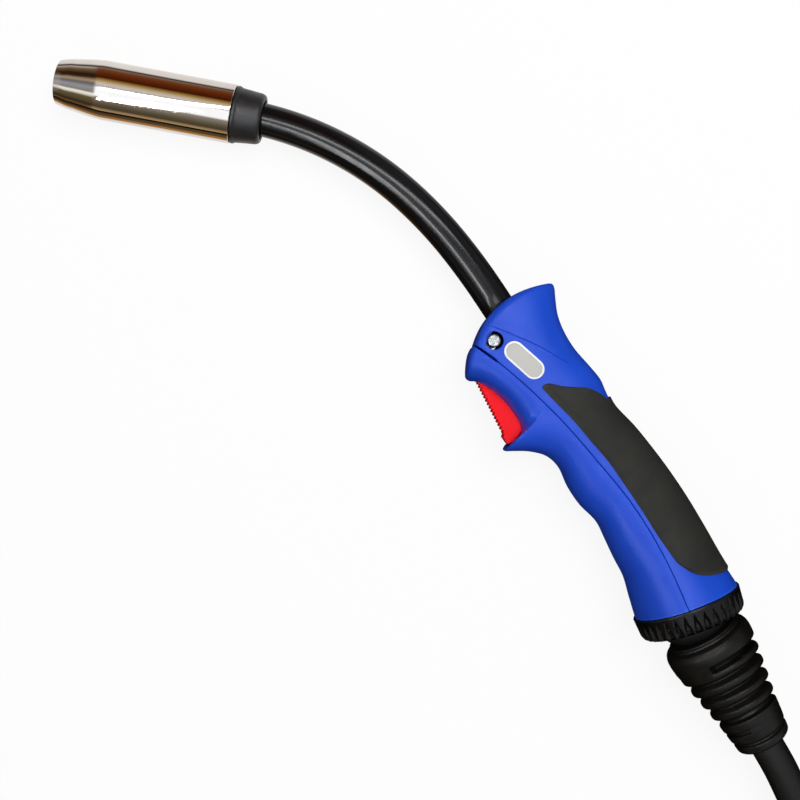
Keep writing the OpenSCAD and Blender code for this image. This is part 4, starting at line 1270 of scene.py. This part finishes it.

# Painted reflection, in gloss only: white by the nozzle, then golden, then dark,
# on the trigger's side of it
off_nozzle = vector_maths(sheet, "SUBTRACT", "Vector", on_sheet, nozzle_middle)
aside = vector_maths(sheet, "DOT_PRODUCT", "Value", off_nozzle, nozzle_side)
painted_reflection_tone = blend_tones(sheet, spread(sheet, aside, 0.031, 0.037, 0, 1), white, golden)
painted_reflection_tone = blend_tones(sheet, spread(sheet, aside, 0.047, 0.062, 0, 1), painted_reflection_tone, dark_gold)
painted_reflection_power = spread(sheet, from_nozzle, 0.1, 0.2, 0.95, 0.08)
painted_reflection_glow = add(sheet, "ShaderNodeEmission", painted_reflection_tone, painted_reflection_power).outputs[0]
feed(
    sheet, sheet.nodes["Material Output"].inputs["Surface"],
    mixed(sheet, either_ray(sheet, "Is Glossy Ray"), seen_sheet, painted_reflection_glow),
)
bench.data.materials.append(bench_white)

# %% Cards round the nozzle
# Each card: its angle from straight above, towards the trigger's side, and its tone in chrome
side_cards = [
    (-88, (135, 110, 90)), (-74, (105, 60, 35)), (-60, (95, 40, 10)), (-38, (60, 20, 6)),
    (-27, (160, 125, 60)), (-13, (200, 190, 175)), (-2, (176, 170, 168)), (4, (255, 255, 255)),
    (34, (255, 255, 255)), (41, (140, 130, 118)), (54, (112, 102, 88)), (66, (84, 76, 56)),
    (80, (70, 56, 42)), (93, (165, 135, 95)),
]
front_cards = [
    (-88, (195, 175, 160)), (-70, (105, 82, 60)), (-48, (40, 28, 16)), (-34, (55, 28, 10)),
    (-20, (160, 140, 112)), (-8, (98, 94, 92)), (8, (146, 146, 154)), (25, (130, 124, 112)),
    (32, (240, 235, 220)), (39, (220, 212, 200)), (48, (96, 85, 52)), (66, (80, 70, 50)),
    (80, (48, 34, 22)), (93, (100, 72, 42)),
]
card_power, card_reach = 2.0, 100
world = bpy.data.worlds.new("studio")
bpy.context.scene.world = world
world.use_nodes = True
air = world.node_tree
looking = add(air, "ShaderNodeTexCoord").outputs["Generated"]


def share_along(way):
    """How much of the looked-along direction points a way of the torch's plane."""
    laid = lay_turn.to_3x3() @ Vector(way)
    return vector_maths(air, "DOT_PRODUCT", "Value", looking, laid)


def card_ring(cards, turn):
    """A ramp of card tones over the angle round the nozzle's axis, mapped to 0 and 1 in turn."""
    ramp = add(air, "ShaderNodeValToRGB", turn)
    stops = ramp.color_ramp.elements
    stops.remove(stops[0])
    for n, (angle, tone) in enumerate(cards):
        spot = (angle + card_reach) / (2 * card_reach)
        stop = stops[0] if n == 0 else stops.new(spot)
        stop.position = spot
        shares = zip(srgb(*tone)[:3], srgb(*chrome_tone))
        stop.color = [min(c / m / card_power, 1) for c, m in shares] + [1]
    return ramp.outputs["Color"]


sideways, upwards = share_along(nozzle_side), share_along((0, 0, 1))
forward = share_along((*heading(nozzle_heading), 0))
reach = radians(card_reach)
turn = spread(air, maths(air, "ARCTAN2", sideways, upwards), -reach, reach, 0, 1)
to_front = spread(air, forward, 0.36, 0.42, 0, 1)
card_tone = blend_tones(air, to_front, card_ring(side_cards, turn), card_ring(front_cards, turn))
# Seen along the nozzle from its ends, the cards are greyer and paler
grey = add(air, "ShaderNodeRGBToBW", card_tone).outputs[0]
off_middle = maths(air, "ABSOLUTE", maths(air, "SUBTRACT", forward, 0.27))
to_ends = spread(air, off_middle, 0.38, 0.46, 0, 1)
card_tone = blend_tones(air, to_ends, card_tone, spread(air, grey, 0, 0.4, 0.12, 0.4))
print(len(side_cards), "cards beside the nozzle,", len(front_cards), "in front of it")

# %% Sky
sky_light = 0.22
dim = air.nodes["Background"]
dim.inputs["Color"].default_value, dim.inputs["Strength"].default_value = white, sky_light
plain = add(air, "ShaderNodeBackground", white, 1.0).outputs[0]
cards = add(air, "ShaderNodeBackground", card_tone, card_power).outputs[0]
direct = either_ray(air, "Is Camera Ray", "Is Transmission Ray")
seen = mixed(air, direct, dim.outputs[0], plain)
feed(
    air, air.nodes["World Output"].inputs["Surface"],
    mixed(air, either_ray(air, "Is Glossy Ray"), seen, cards),
)


# %% Lamps
def soft_light(name, place, size, power, in_gloss):
    """A flat light along its place's local -Z, which lights things or only shows in gloss."""
    data = bpy.data.lights.new(name, "AREA")
    data.shape, data.size, data.size_y, data.energy = "RECTANGLE", *size, power
    lamp = show(name, data)
    lamp.matrix_world = place
    lamp.visible_glossy, lamp.visible_diffuse = in_gloss, not in_gloss


def panel(name, place, size, power):
    """A square light in metres, aimed at the middle of the bench."""
    turn = (-Vector(place)).to_track_quat("-Z", "Y").to_matrix().to_4x4()
    soft_light(name, Matrix.Translation(place) @ turn, (size, size), power, False)


def strip(name, start, end, width, power):
    """A strip light between two points of the torch's plane, seen only in gloss."""
    a, b = torch @ Vector(start), torch @ Vector(end)
    way = (b - a).normalized()
    side = way.cross(lay_turn.to_3x3() @ Vector((0, 0, 1))).normalized()
    turn = Matrix([side, way, side.cross(way)]).transposed().to_4x4()
    place = Matrix.Translation((a + b) / 2) @ turn
    soft_light(name, place, (width, (b - a).length), power, True)


strip_height = 600
panel("key_panel", (0.05, -0.6, 1.5), 1, 19.5)
panel("fill_panel", (-0.5, 0.9, 1.3), 1.4, 3)
strip("top_card", (-150, -80, strip_height), (118, -80, strip_height), 0.3, 0.72)
strip("back_strip", (190, -480, strip_height), (470, 180, strip_height), 0.07, 1.6)
strip("trigger_strip", (290, 200, strip_height), (220, 760, strip_height), 0.07, 1.6)
bpy.context.scene.view_settings.view_transform = "Standard"
print(len(bpy.data.lights), "lamps")
